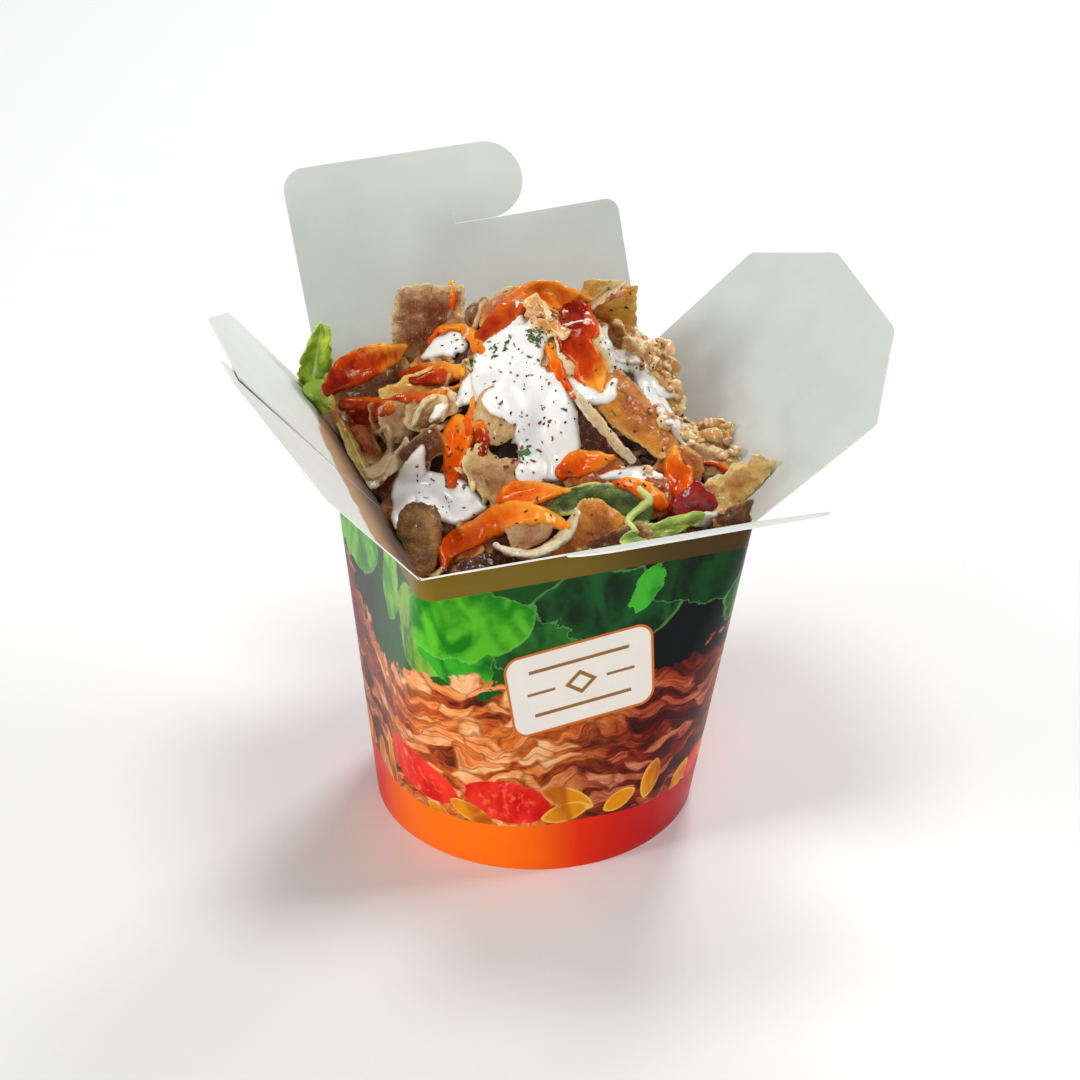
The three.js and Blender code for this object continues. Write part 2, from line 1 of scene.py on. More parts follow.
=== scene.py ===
"""Kebab box: the looks of a paperboard takeaway box heaped with kebab meat, salad and sauces.

Sizes are in millimetres in the box's own frame, and become metres when a piece's points are set.
Food is placed from the middle of the mouth, at the height of the fold lines.
"""

import json
import math
import random

import bpy
import numpy as np
from mathutils import Matrix, Vector, geometry, noise
from mathutils.bvhtree import BVHTree


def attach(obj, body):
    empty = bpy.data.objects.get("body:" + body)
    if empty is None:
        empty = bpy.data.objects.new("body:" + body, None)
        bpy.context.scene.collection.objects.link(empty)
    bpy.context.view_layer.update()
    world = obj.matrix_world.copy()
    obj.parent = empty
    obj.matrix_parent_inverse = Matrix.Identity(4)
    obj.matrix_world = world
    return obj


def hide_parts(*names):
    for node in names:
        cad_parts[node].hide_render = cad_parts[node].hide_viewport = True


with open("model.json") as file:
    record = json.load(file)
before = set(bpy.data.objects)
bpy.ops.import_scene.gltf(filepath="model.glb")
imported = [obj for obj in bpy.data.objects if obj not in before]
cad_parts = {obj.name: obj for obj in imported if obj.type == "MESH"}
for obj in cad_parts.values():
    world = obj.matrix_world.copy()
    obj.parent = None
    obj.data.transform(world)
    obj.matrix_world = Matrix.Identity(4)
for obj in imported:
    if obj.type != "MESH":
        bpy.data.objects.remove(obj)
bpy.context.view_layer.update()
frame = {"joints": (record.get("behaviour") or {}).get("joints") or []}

MM = 0.001
FOLDS = {joint["name"]: joint["pos_m"] for joint in frame["joints"]}
CREASE = FOLDS["fold_back"][2] / MM
FOLD_OFFSET = FOLDS["fold_back"][1] / MM
TO_FOLDS = np.array([0, 0, CREASE])  # from where food is placed to the box's own frame
FOLD_MIDDLE = Vector((0, 0, CREASE))

# ---- driving sizes, as in the part ----

BOARD = 0.5
CORNER_RADIUS = 2.5
MOUTH_HALF = FOLD_OFFSET + BOARD / 2
CORNER = MOUTH_HALF - CORNER_RADIUS  # middle of each mouth corner, from the middle of the mouth
BASE_RADIUS = 44
OPEN = {"back": 54.7, "front": 34.8, "left": 51.7, "right": 38.1}
INWARD = {"back": 30, "front": 45, "left": 0, "right": 0}  # how far each flap can swing in over the food
TURN = {"back": 0, "front": 180, "left": 90, "right": -90}
GAP = 0.35
HEAP = {"height": 51, "sink": -7, "x": 3, "y": 18, "spread": 29}
CORE_DEPTH = 7.5
LOWEST_SAUCE = CREASE - 12
LOWEST_SCRAP = CREASE - 14
LOWEST_CRUMB = CREASE - 8
ABOVE_FOOD = CREASE + 60
BASE_BOARD = 0.8
CORE_HALF = 45.2
CORE_FLOOR = 1.3
SIDE_FLAP_TOP = 60.2
FLAP_FOOT = 45.9
FLAP_START = -0.2

dice = random.Random(7)


# ---- making and moving points ----

def deselect():
    bpy.ops.object.select_all(action="DESELECT")


def named(piece, name):
    piece.name = name
    piece.data.name = name
    return piece


def new_object(name, data):
    holder = bpy.data.objects.new(name, data)
    bpy.context.scene.collection.objects.link(holder)
    return holder


def store(mesh, name, values):
    """Keeps a value at each point for the finish to read."""
    kept = mesh.attributes.new(name, "FLOAT", "POINT")
    kept.data.foreach_set("value", values.astype(np.float32))


def points_of(piece):
    points = np.empty(len(piece.data.vertices) * 3)
    piece.data.vertices.foreach_get("co", points)
    return points.reshape(-1, 3) / MM


def set_points(piece, points):
    piece.data.vertices.foreach_set("co", (np.asarray(points) * MM).ravel())
    piece.data.update()


def normals_of(piece):
    normals = np.empty(len(piece.data.vertices) * 3)
    piece.data.vertex_normals.foreach_get("vector", normals)
    return normals.reshape(-1, 3)


def apply_modifier(piece, kind, **settings):
    modifier = piece.modifiers.new(kind.title(), kind)
    for name, value in settings.items():
        setattr(modifier, name, value)
    bpy.context.view_layer.objects.active = piece
    bpy.ops.object.modifier_apply(modifier=modifier.name)


def in_edit_mode(piece, *steps):
    deselect()
    piece.select_set(True)
    bpy.context.view_layer.objects.active = piece
    bpy.ops.object.mode_set(mode="EDIT")
    bpy.ops.mesh.select_all(action="SELECT")
    for step in steps:
        step()
    bpy.ops.object.mode_set(mode="OBJECT")
    deselect()


def new_grid(name, across, along):
    """A square grid from -1 to 1 each way."""
    deselect()
    bpy.ops.mesh.primitive_grid_add(x_subdivisions=across, y_subdivisions=along, size=2)
    return named(bpy.context.object, name)


def grid_places(piece):
    points = points_of(piece) * MM
    return points[:, 0], points[:, 1]


def lumps(points, size, seed=0.0):
    """Smooth noise from -1 to 1 with lumps of a size, at each point."""
    places = (np.asarray(points, float) / size + seed).tolist()
    return np.array([noise.noise(place) for place in places])


def roughen(piece, seed, *layers):
    """Moves each point along its normal by layers of noise, each with a lump size and a height."""
    points = points_of(piece)
    height = sum(depth * lumps(points, size, seed + 3.7 * k) for k, (size, depth) in enumerate(layers))
    set_points(piece, points + normals_of(piece) * height[:, None])


def smoothstep(value, low, high):
    share = np.clip((value - low) / (high - low), 0, 1)
    return share * share * (3 - 2 * share)


def finish_piece(piece, body, slot, finishes, *nodes):
    if not piece.data.materials:
        for finish in finishes:
            piece.data.materials.append(finish)
    piece.data.shade_smooth()
    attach(piece, body)
    if nodes:
        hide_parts(*nodes)
    return piece


# ---- building finishes ----

def colour(red, green, blue):
    """A colour given as a display shows it, 0 to 255."""
    def straight(value):
        value /= 255
        return value / 12.92 if value <= 0.04045 else ((value + 0.055) / 1.055) ** 2.4
    return (straight(red), straight(green), straight(blue), 1.0)


class Nodes:
    """Adds and joins nodes in one tree."""

    def __init__(self, tree):
        self.tree = tree

    def put(self, socket, value):
        if isinstance(value, bpy.types.NodeSocket):
            self.tree.links.new(value, socket)
        else:
            socket.default_value = value

    def add(self, kind, sockets=None, **settings):
        node = self.tree.nodes.new("ShaderNode" + kind)
        for name, value in settings.items():
            setattr(node, name, value)
        for key, value in (sockets or {}).items():
            self.put(node.inputs[key], value)
        return node

    def math(self, operation, first, second=0.0, clamp=False):
        return self.add("Math", {0: first, 1: second}, operation=operation, use_clamp=clamp).outputs[0]

    def plus(self, first, second):
        return self.math("ADD", first, second)

    def minus(self, first, second):
        return self.math("SUBTRACT", first, second)

    def times(self, first, second):
        return self.math("MULTIPLY", first, second)

    def axes(self, vector):
        return self.add("SeparateXYZ", {0: vector}).outputs

    def blend(self, share, low, high, kind="MIX"):
        sockets = {0: share, 6: low, 7: high}
        return self.add("Mix", sockets, data_type="RGBA", blend_type=kind, clamp_factor=True).outputs[2]

    def noise(self, vector, scale, detail=2.0, roughness=0.5, distortion=0.0):
        sockets = {"Vector": vector, "Scale": scale, "Detail": detail, "Roughness": roughness,
                   "Distortion": distortion}
        return self.add("TexNoise", sockets).outputs["Fac"]

    def step(self, value, low, high, bottom=0.0, top=1.0):
        sockets = {"Value": value, "From Min": low, "From Max": high, "To Min": bottom, "To Max": top}
        return self.add("MapRange", sockets, interpolation_type="SMOOTHSTEP").outputs[0]

    def ramp(self, share, *stops):
        node = self.add("ValToRGB", {0: share})
        elements = node.color_ramp.elements
        for k, (place, tint) in enumerate(stops):
            element = elements[k] if k < 2 else elements.new(place)
            element.position = place
            element.color = tint
        return node.outputs[0]

    def mapping(self, vector, scale=(1, 1, 1), rotation=(0, 0, 0), location=(0, 0, 0)):
        sockets = {"Vector": vector, "Scale": scale, "Rotation": rotation, "Location": location}
        return self.add("Mapping", sockets).outputs[0]

    def place(self, scale=1000):
        """Object coordinates in millimetres."""
        return self.mapping(self.add("TexCoord").outputs["Object"], (scale, scale, scale))

    def bump(self, height, distance, strength):
        sockets = {"Height": height, "Distance": distance, "Strength": strength}
        return self.add("Bump", sockets).outputs[0]

    def group(self, tree, **values):
        node = self.tree.nodes.new("ShaderNodeGroup")
        node.node_tree = tree
        for key, value in values.items():
            self.put(node.inputs[key.replace("_", " ")], value)
        return node


def new_finish(name, roughness, **settings):
    """A material with its Principled shader, whose plain values are set on its own sockets."""
    material = bpy.data.materials.new(name)
    material.use_nodes = True
    nodes = Nodes(material.node_tree)
    shader = material.node_tree.nodes["Principled BSDF"]
    nodes.put(shader.inputs["Roughness"], roughness)
    for key, value in settings.items():
        nodes.put(shader.inputs[key.replace("_", " ")], value)
    return material, nodes, shader.inputs


def lay_surface(nodes, shader, tint, height, distance, strength):
    """Gives a finish its colour and its relief."""
    nodes.put(shader["Base Color"], tint)
    nodes.put(shader["Normal"], nodes.bump(height, distance, strength))


def new_group(name, inputs, outputs):
    tree = bpy.data.node_groups.new(name, "ShaderNodeTree")
    for label, kind, value in inputs:
        socket = tree.interface.new_socket(label, in_out="INPUT", socket_type="NodeSocket" + kind)
        socket.default_value = value
    for label, kind in outputs:
        tree.interface.new_socket(label, in_out="OUTPUT", socket_type="NodeSocket" + kind)
    start = tree.nodes.new("NodeGroupInput")
    end = tree.nodes.new("NodeGroupOutput")
    return tree, Nodes(tree), start.outputs, end.inputs


# ---- board and print finishes ----

def paper_fibre_group():
    """Fine fibre mottling of paperboard."""
    tree, nodes, given, out = new_group(
        "paper fibre",
        [("Tint", "Color", (0.8, 0.8, 0.8, 1)), ("Strength", "Float", 0.05)],
        [("Colour", "Color"), ("Height", "Float")],
    )
    place = nodes.place()
    cloud = nodes.noise(place, 0.09, 3)
    fibre = nodes.noise(nodes.mapping(place, (1, 3, 1), (0.3, 0.2, 0.7)), 2.2, 3)
    dark = nodes.blend(given["Strength"], given["Tint"], (0, 0, 0, 1))
    share = nodes.step(nodes.plus(cloud, nodes.times(fibre, 0.5)), 0.4, 1.1)
    nodes.put(out["Colour"], nodes.blend(share, given["Tint"], dark))
    nodes.put(out["Height"], fibre)
    return tree


PAPER_FIBRE = paper_fibre_group()


def board_finish(name, tint, roughness, low_stain_and_shade=0.0, fold_strip_stain_and_shade=0.0):
    """Uncoated board, which may be darkened low near its fold by a food stain with painted shade, or given a
    brown strip along the left fold that is part grease stain and part painted shade, darkest at the fold.
    """
    material, nodes, shader = new_finish(name, roughness, Specular_IOR_Level=0.35)
    fibre = nodes.group(PAPER_FIBRE, Tint=tint, Strength=0.06)
    surface = fibre.outputs["Colour"]
    if low_stain_and_shade:
        # Darker brown low near the fold with a wavy upper edge: partly a food stain, partly painted shade of
        # the food
        place = nodes.place()
        height = nodes.axes(place)[2]
        wave = nodes.times(nodes.noise(place, 0.09, 2, 0.4), 20.0)
        low = nodes.step(nodes.minus(height, wave), CREASE - 10, CREASE + 5, low_stain_and_shade, 0.0)
        surface = nodes.blend(low, surface, colour(150, 108, 68))
    if fold_strip_stain_and_shade:
        # Brown strip along the left fold, wider towards the front: part grease stain, part painted shade,
        # near black-brown at the fold
        axes = nodes.axes(nodes.place())
        edge = nodes.times(nodes.noise(nodes.place(), 0.22, 3), 3.0)
        rise = nodes.step(axes[1], 58.0, -4.0, 1.5, 13.5)
        above = nodes.minus(nodes.minus(axes[2], edge), rise)
        strip = nodes.step(above, CREASE - 0.6, CREASE + 0.9, 1.0, 0.0)
        tint = nodes.blend(nodes.step(above, CREASE - 12.0, CREASE - 0.5), colour(74, 48, 28),
                           colour(176, 140, 102))
        surface = nodes.blend(nodes.times(strip, fold_strip_stain_and_shade), surface, tint)
    lay_surface(nodes, shader, surface, fibre.outputs["Height"], 0.00003, 0.5)
    return material


def print_spot_group():
    """An ellipse or a pointed leaf in the print, with a soft rim. Pointed at 1 makes it a leaf."""
    tree, nodes, given, out = new_group(
        "print spot",
        [("Across", "Float", 0), ("Up", "Float", 0), ("Middle Across", "Float", 0), ("Middle Up", "Float", 0),
         ("Half Length", "Float", 10), ("Half Width", "Float", 5), ("Angle", "Float", 0),
         ("Pointed", "Float", 0),
         ("Softness", "Float", 0.08)],
        [("Mask", "Float"), ("Inner", "Float")],
    )
    across = nodes.minus(given["Across"], given["Middle Across"])
    up = nodes.minus(given["Up"], given["Middle Up"])
    cos, sin = nodes.math("COSINE", given["Angle"]), nodes.math("SINE", given["Angle"])
    along = nodes.plus(nodes.times(across, cos), nodes.times(up, sin))
    aside = nodes.minus(nodes.times(up, cos), nodes.times(across, sin))
    x = nodes.math("DIVIDE", along, given["Half Length"])
    y = nodes.math("DIVIDE", aside, given["Half Width"])
    x2, y2 = nodes.times(x, x), nodes.math("ABSOLUTE", y)
    round_rim = nodes.math("SQRT", nodes.plus(x2, nodes.times(y2, y2)))
    leaf_rim = nodes.plus(x2, y2)
    pick = nodes.add("Mix", {0: given["Pointed"], 2: round_rim, 3: leaf_rim}, data_type="FLOAT").outputs[0]
    low = nodes.minus(1.0, given["Softness"])
    nodes.put(out["Mask"], nodes.minus(1.0, nodes.step(pick, low, 1.0)))
    nodes.put(out["Inner"], nodes.math("SUBTRACT", 1.0, pick, clamp=True))
    return tree


PRINT_SPOT = print_spot_group()


# Places in the print are millimetres round the wall from the middle of the front, and up from its foot
# leaves: middle, half length and width, angle, how pointed, deep and pale green
PRINTED_LEAVES = [
    ((4, 84), (24, 14), 0, 0.0, (8, 36, 14), (20, 84, 34)),
    ((34, 90), (18, 9), -6, 0.0, (6, 22, 12), (12, 66, 24)),
    ((-16, 76), (17, 10), -28, 0.0, (14, 62, 22), (40, 116, 36)),
    ((-52, 82), (15, 15), 10, 0.0, (40, 104, 18), (134, 178, 56)),
    ((-40, 75), (13, 9), -34, 0.2, (14, 98, 18), (52, 168, 34)),
    ((-36, 87), (21, 12), -8, 0.0, (14, 122, 8), (88, 188, 32)),
    ((17, 89), (9, 4), 66, 0.6, (14, 118, 20), (66, 180, 48)),
    ((-74, 86), (14, 8), 82, 0.4, (60, 140, 30), (130, 190, 60)),
    ((66, 82), (26, 13), 10, 0.1, (10, 60, 14), (60, 150, 36)),
    ((104, 82), (24, 12), -20, 0.2, (30, 120, 18), (100, 184, 46)),
    ((150, 84), (28, 13), 8, 0.1, (16, 110, 14), (90, 184, 44)),
    ((-110, 82), (24, 12), 16, 0.1, (40, 120, 18), (110, 184, 50)),
    ((-152, 84), (26, 13), -12, 0.1, (16, 104, 16), (84, 174, 42)),
]
# tomato pieces and yellow wedges: middle, half length and width, angle
PRINTED_TOMATOES = [
    ((-61, 28), (18, 7.5), -12), ((-27, 25), (16, 7.5), -13), ((48, 21), (9, 5), 10),
    ((84, 24), (14, 8), 16), ((118, 19), (13, 8), -12), ((168, 22), (14, 9), 8), ((-128, 20), (14, 8), 10),
]
PRINTED_WEDGES = [
    ((-91, 20), (5, 4), 90), ((-79, 23), (9, 3.2), 112), ((-53, 17), (5, 2.4), -20),
    ((-40, 20), (8.5, 3.4), -22), ((-6, 24), (10.5, 3.6), -24), ((-7, 19.5), (9, 3.2), 6),
    ((12.5, 20.5), (6.5, 3), 24), ((24, 25), (7, 3.6), 75), ((39, 20), (6, 3.6), 50),
    ((60, 20), (10, 4), -30), ((70, 24), (9, 4), 70), ((104, 20), (10, 4), 20), ((140, 21), (10, 4), -30),
    ((154, 23), (9, 4), 60), ((-108, 21), (10, 4), -20), ((-150, 22), (10, 4), 40),
    ((-170, 20), (10, 4), -10),
]
SIDE = 93.0  # one side of the printed wrap
PLAQUE = (-1.9, 62.5)
PLAQUE_TILT = math.radians(6)
FOOT_BAND = 16.3
GOLD_BAND = 7.45
BLUR = 0.15  # half the width of the soft edge between bands


def print_finish():
    """The printed wrap: bands, leaves, shredded meat, tomato and yellow wedges as simple shapes."""
    material, nodes, shader = new_finish("carton_print", 0.34, Specular_IOR_Level=0.12)
    chart = nodes.axes(nodes.add("TexCoord").outputs["UV"])
    across = nodes.times(nodes.minus(chart[0], 0.5), 4 * SIDE)
    up = nodes.times(chart[1], CREASE)
    flat = nodes.add("CombineXYZ", {0: across, 1: up}).outputs[0]
    ragged = nodes.minus(nodes.noise(flat, 0.12, 4, 0.6), 0.5)
    fine = nodes.minus(nodes.noise(flat, 0.35, 3, 0.6), 0.5)
    wild_across = nodes.plus(across, nodes.times(ragged, 9.0))
    wild_up = nodes.plus(up, nodes.times(ragged, 9.0))

    def spot(middle, half, angle, pointed=0.0, softness=0.1, wild=True):
        place = (wild_across, wild_up) if wild else (across, up)
        return nodes.group(
            PRINT_SPOT, Across=place[0], Up=place[1], Middle_Across=float(middle[0]),
            Middle_Up=float(middle[1]),
            Half_Length=float(half[0]), Half_Width=float(half[1]), Angle=math.radians(angle),
            Pointed=pointed, Softness=softness,
        ).outputs

    side = nodes.math("SINE", nodes.times(across, math.pi / SIDE))
    # Green ground that darkens towards the right of each side, under folded leaves in the print and also as
    # painted shade
    ground = nodes.step(nodes.plus(side, nodes.times(ragged, 1.4)), -0.9, 0.5)
    picture = nodes.blend(ground, colour(18, 84, 20), colour(6, 10, 12))
    cloud = nodes.noise(nodes.mapping(flat, (1, 0.6, 1), (0, 0, 0.5)), 0.075, 2, 0.4, 1.5)
    for middle, half, angle, pointed, deep, pale in PRINTED_LEAVES:
        leaf = spot(middle, half, angle, pointed, 0.05)
        fold = nodes.plus(nodes.times(cloud, 0.85), nodes.times(fine, 0.22))
        tint = nodes.blend(nodes.step(fold, 0.28, 0.56), colour(*deep), colour(*pale))
        tint = nodes.blend(nodes.step(leaf["Inner"], 0.0, 0.08, 0.55, 0.0), tint, colour(150, 220, 110))
        picture = nodes.blend(leaf["Mask"], picture, tint)

    # Shredded meat: torn flakes with dark gaps and fine strands, redder and darker to the right, partly the
    # print and partly painted shade
    swirl = nodes.add("TexNoise", {"Vector": flat, "Scale": 0.07, "Detail": 2.0}).outputs["Color"]
    centred = nodes.mapping(swirl, (16, 16, 0), location=(-8, -8, 0))
    swirled = nodes.add("VectorMath", {0: flat, 1: centred}, operation="ADD").outputs[0]
    laid = nodes.mapping(swirled, (0.09, 0.3, 1), (0, 0, 0.4))
    flakes = nodes.add("TexVoronoi", {"Vector": laid, "Scale": 1.0, "Randomness": 1.0, "Smoothness": 0.35},
                       feature="SMOOTH_F1")
    gaps = nodes.add("TexVoronoi", {"Vector": laid, "Scale": 1.0, "Randomness": 1.0},
                     feature="DISTANCE_TO_EDGE")
    lump = nodes.noise(nodes.mapping(swirled, (0.5, 1.5, 1), (0, 0, 0.4)), 0.16, 3, 0.55, 0.6)
    strand = nodes.noise(nodes.mapping(swirled, (0.3, 1.5, 1), (0, 0, 0.4)), 0.62, 4, 0.7, 1.0)
    pick = nodes.add("SeparateColor", {0: flakes.outputs["Color"]}).outputs[0]
    tone = nodes.plus(nodes.times(pick, 0.34), nodes.times(strand, 0.45))
    tone = nodes.plus(tone, nodes.times(lump, 0.4))
    warm = nodes.ramp(tone, (0.36, colour(70, 14, 4)), (0.50, colour(186, 74, 22)),
                      (0.62, colour(232, 128, 52)), (0.80, colour(250, 196, 140)))
    deep = nodes.ramp(tone, (0.38, colour(16, 2, 6)), (0.54, colour(92, 18, 6)),
                      (0.66, colour(158, 50, 18)), (0.84, colour(214, 138, 100)))
    lowering = nodes.times(nodes.step(up, 64.0, 26.0), 0.6)
    deep_tone_and_shade = nodes.step(nodes.plus(nodes.plus(side, lowering), ragged), -0.3, 1.0)
    meat = nodes.blend(deep_tone_and_shade, warm, deep)
    shadow = nodes.minus(1.0, nodes.step(nodes.plus(gaps.outputs["Distance"],
                        nodes.times(fine, 0.14)), 0.0, 0.12))
    meat = nodes.blend(nodes.times(shadow, 0.45), meat, colour(50, 10, 4))
    skyline = nodes.plus(nodes.times(ragged, 22.0), nodes.times(fine, 9.0))
    lean_top = nodes.times(nodes.minus(pick, 0.5), 6.0)
    swell = nodes.times(nodes.math("COSINE", nodes.times(nodes.minus(across, 52.0), math.pi / (SIDE / 2))),
                        6.0)
    meat_top = nodes.plus(nodes.plus(skyline, nodes.plus(swell, lean_top)), 62.0)
    picture = nodes.blend(nodes.step(nodes.minus(meat_top, up), -0.5, 0.5), picture, meat)

    # Tomato pieces and yellow wedges
    for middle, half, angle in PRINTED_TOMATOES:
        slice_spot = spot(middle, half, angle, 0.15, 0.06, wild=False)
        flesh = nodes.blend(nodes.step(cloud, 0.35, 0.65), colour(206, 8, 8), colour(240, 52, 34))
        seeds = nodes.step(nodes.noise(flat, 0.42, 2), 0.5, 0.66, 0.0, 0.7)
        flesh = nodes.blend(nodes.times(seeds, nodes.step(slice_spot["Inner"], 0.2, 0.5)), flesh,
                            colour(250, 96, 60))
        gleam = nodes.step(nodes.noise(flat, 0.2, 2), 0.60, 0.74, 0.0, 0.5)
        flesh = nodes.blend(gleam, flesh, colour(255, 160, 140))
        picture = nodes.blend(slice_spot["Mask"], picture, flesh)
    for middle, half, angle in PRINTED_WEDGES:
        wedge = spot(middle, half, angle, 0.3, 0.08, wild=False)
        tint = nodes.blend(nodes.step(wedge["Inner"], 0.0, 0.3), colour(244, 200, 90), colour(228, 140, 14))
        tint = nodes.blend(nodes.step(cloud, 0.4, 0.66), tint, colour(176, 80, 8))
        picture = nodes.blend(wedge["Mask"], picture, tint)

    # Band at the foot in orange that deepens to red, partly the print and partly painted shade, and the gold
    # band under the folds, which darkens to the right as painted shade
    band = nodes.ramp(nodes.step(side, -1.1, 1.1), (0.0, colour(255, 116, 0)), (0.45, colour(232, 46, 8)),
                      (1.0, colour(190, 10, 18)))
    picture = nodes.blend(nodes.step(up, FOOT_BAND + BLUR, FOOT_BAND - BLUR), picture, band)
    gold = nodes.ramp(nodes.step(side, -1.1, 1.0), (0.0, colour(124, 100, 24)), (0.5, colour(116, 94, 22)),
                      (1.0, colour(72, 52, 18)))
    picture = nodes.blend(nodes.step(up, CREASE - GOLD_BAND - BLUR, CREASE - GOLD_BAND + BLUR), picture, gold)

    # A plain plaque with a simple ornament: a cream panel, a thin orange rim, a diamond between two bars
    x0, y0 = nodes.minus(across, PLAQUE[0]), nodes.minus(up, PLAQUE[1])
    x = nodes.plus(nodes.times(x0, math.cos(PLAQUE_TILT)), nodes.times(y0, math.sin(PLAQUE_TILT)))
    y = nodes.minus(nodes.times(y0, math.cos(PLAQUE_TILT)), nodes.times(x0, math.sin(PLAQUE_TILT)))

    def panel(half_width, half_height, radius):
        out_x = nodes.math("MAXIMUM", nodes.minus(nodes.math("ABSOLUTE", x), half_width - radius), 0.0)
        out_y = nodes.math("MAXIMUM", nodes.minus(nodes.math("ABSOLUTE", y), half_height - radius), 0.0)
        reach = nodes.math("SQRT", nodes.plus(nodes.math("POWER", out_x, 2.0),
                                              nodes.math("POWER", out_y, 2.0)))
        return nodes.step(reach, radius - 0.12, radius + 0.12, 1.0, 0.0)

    def bar(value, middle, half):
        away = nodes.math("ABSOLUTE", nodes.minus(value, middle))
        return nodes.step(away, half - 0.12, half + 0.12, 1.0, 0.0)

    cream = colour(238, 232, 222)
    picture = nodes.blend(panel(23.0, 13.4, 5.0), picture, colour(206, 112, 40))
    picture = nodes.blend(panel(22.2, 12.6, 4.3), picture, cream)
    tan = colour(150, 104, 48)
    diamond = nodes.plus(nodes.math("ABSOLUTE", x), nodes.times(nodes.math("ABSOLUTE", y), 1.3))
    picture = nodes.blend(nodes.step(diamond, 5.0, 5.3, 1.0, 0.0), picture, tan)
    picture = nodes.blend(nodes.step(diamond, 3.1, 3.4, 1.0, 0.0), picture, cream)
    for middle in (-7.2, 7.2):
        line = nodes.times(bar(y, middle, 0.55), bar(x, 0.0, 15.5))
        picture = nodes.blend(line, picture, tan)
    for middle in (-12.5, 12.5):
        line = nodes.times(bar(y, 0.0, 0.45), bar(x, middle, 4.4))
        picture = nodes.blend(line, picture, tan)

    fibre = nodes.group(PAPER_FIBRE, Tint=picture, Strength=0.06)
    lay_surface(nodes, shader, fibre.outputs["Colour"], fibre.outputs["Height"], 0.00002, 0.4)
    return material


def plain_print_finish():
    """The unprinted-looking gold outside of the flaps."""
    material, nodes, shader = new_finish("carton_gold", 0.36, Specular_IOR_Level=0.2, Coat_Weight=0.08,
                                         Coat_Roughness=0.2)
    fibre = nodes.group(PAPER_FIBRE, Tint=colour(128, 106, 30), Strength=0.2)
    lay_surface(nodes, shader, fibre.outputs["Colour"], fibre.outputs["Height"], 0.00002, 0.4)
    return material


# ---- food finishes ----

# Tints of the shine of browned meat and of oily sauce
WARM = (1.0, 0.8, 0.56, 1.0)
AMBER = (1.0, 0.7, 0.4, 1.0)


def roast_group():
    """Roasted meat: a lean colour, browned patches, a rim along the slice's edge, fibres and pits."""
    tree, nodes, given, out = new_group(
        "roasted surface",
        [("Lean", "Color", (0.5, 0.3, 0.15, 1)), ("Browned", "Color", (0.15, 0.06, 0.03, 1)),
         ("Rim", "Color", (0.6, 0.4, 0.2, 1)), ("Browning", "Float", 0.5), ("Rim Width", "Float", 0.3),
         ("Grain", "Float", 1.0)],
        [("Colour", "Color"), ("Wetness", "Float"), ("Height", "Float")],
    )
    place = nodes.place()
    sheet = nodes.add("TexCoord").outputs["UV"]
    axes = nodes.axes(sheet)
    reach = [nodes.math("ABSOLUTE", nodes.minus(nodes.times(axes[k], 2.0), 1.0)) for k in (0, 1)]
    edge = nodes.math("MAXIMUM", *reach)
    patches = nodes.noise(place, 0.17, 3, 0.55)
    mottle = nodes.noise(place, 0.7, 4, 0.6)
    speck = nodes.noise(place, 2.6, 3, 0.6)
    fibres = nodes.noise(nodes.mapping(sheet, (5, 34, 1)), 1.6, 3, 0.6, 0.6)
    middle = nodes.minus(1.0, nodes.times(edge, edge))
    brown = nodes.plus(nodes.times(middle, 0.35), nodes.times(patches, 0.9))
    brown = nodes.plus(brown, nodes.times(nodes.minus(mottle, 0.5), 0.35))
    threshold = nodes.minus(1.25, given["Browning"])
    low = nodes.minus(threshold, 0.28)
    high = nodes.plus(threshold, 0.22)
    surface = nodes.blend(nodes.step(brown, low, high), given["Lean"], given["Browned"])
    rim_from = nodes.minus(1.0, given["Rim Width"])
    ragged_edge = nodes.plus(edge, nodes.times(nodes.minus(mottle, 0.5), 0.3))
    surface = nodes.blend(nodes.step(ragged_edge, rim_from, 1.02), surface, given["Rim"])
    grain = nodes.times(nodes.minus(fibres, 0.5), given["Grain"])
    shade = nodes.plus(nodes.times(grain, 0.7), nodes.times(nodes.minus(speck, 0.5), 0.7))
    shade = nodes.plus(shade, nodes.times(nodes.minus(mottle, 0.5), 1.1))
    surface = nodes.blend(nodes.step(shade, 0.02, 0.34, 0.0, 0.55), surface,
                          nodes.blend(0.5, surface, (1.0, 0.86, 0.62, 1)))
    surface = nodes.blend(nodes.step(shade, -0.02, -0.34, 0.0, 0.6), surface,
                          nodes.blend(0.72, surface, (0.05, 0.02, 0.01, 1)))
    char = nodes.step(nodes.plus(speck, nodes.times(patches, 0.35)), 0.86, 0.93, 0.0, 0.6)
    surface = nodes.blend(char, surface, (0.035, 0.012, 0.006, 1))
    nodes.put(out["Colour"], surface)
    nodes.put(out["Wetness"], nodes.step(nodes.noise(place, 0.45, 3), 0.38, 0.62))
    height = nodes.plus(nodes.times(speck, 0.8), nodes.times(mottle, 0.9))
    nodes.put(out["Height"], nodes.plus(height, nodes.times(grain, 0.6)))
    return tree


ROAST = roast_group()


def wet_meat(name, gloss, glow):
    return new_finish(
        name, 0.4, Specular_IOR_Level=0.4, Specular_Tint=WARM, Coat_Weight=0.7 * gloss, Coat_Roughness=0.08,
        Subsurface_Weight=glow, Subsurface_Scale=0.001, Subsurface_Radius=(1.0, 0.45, 0.22))


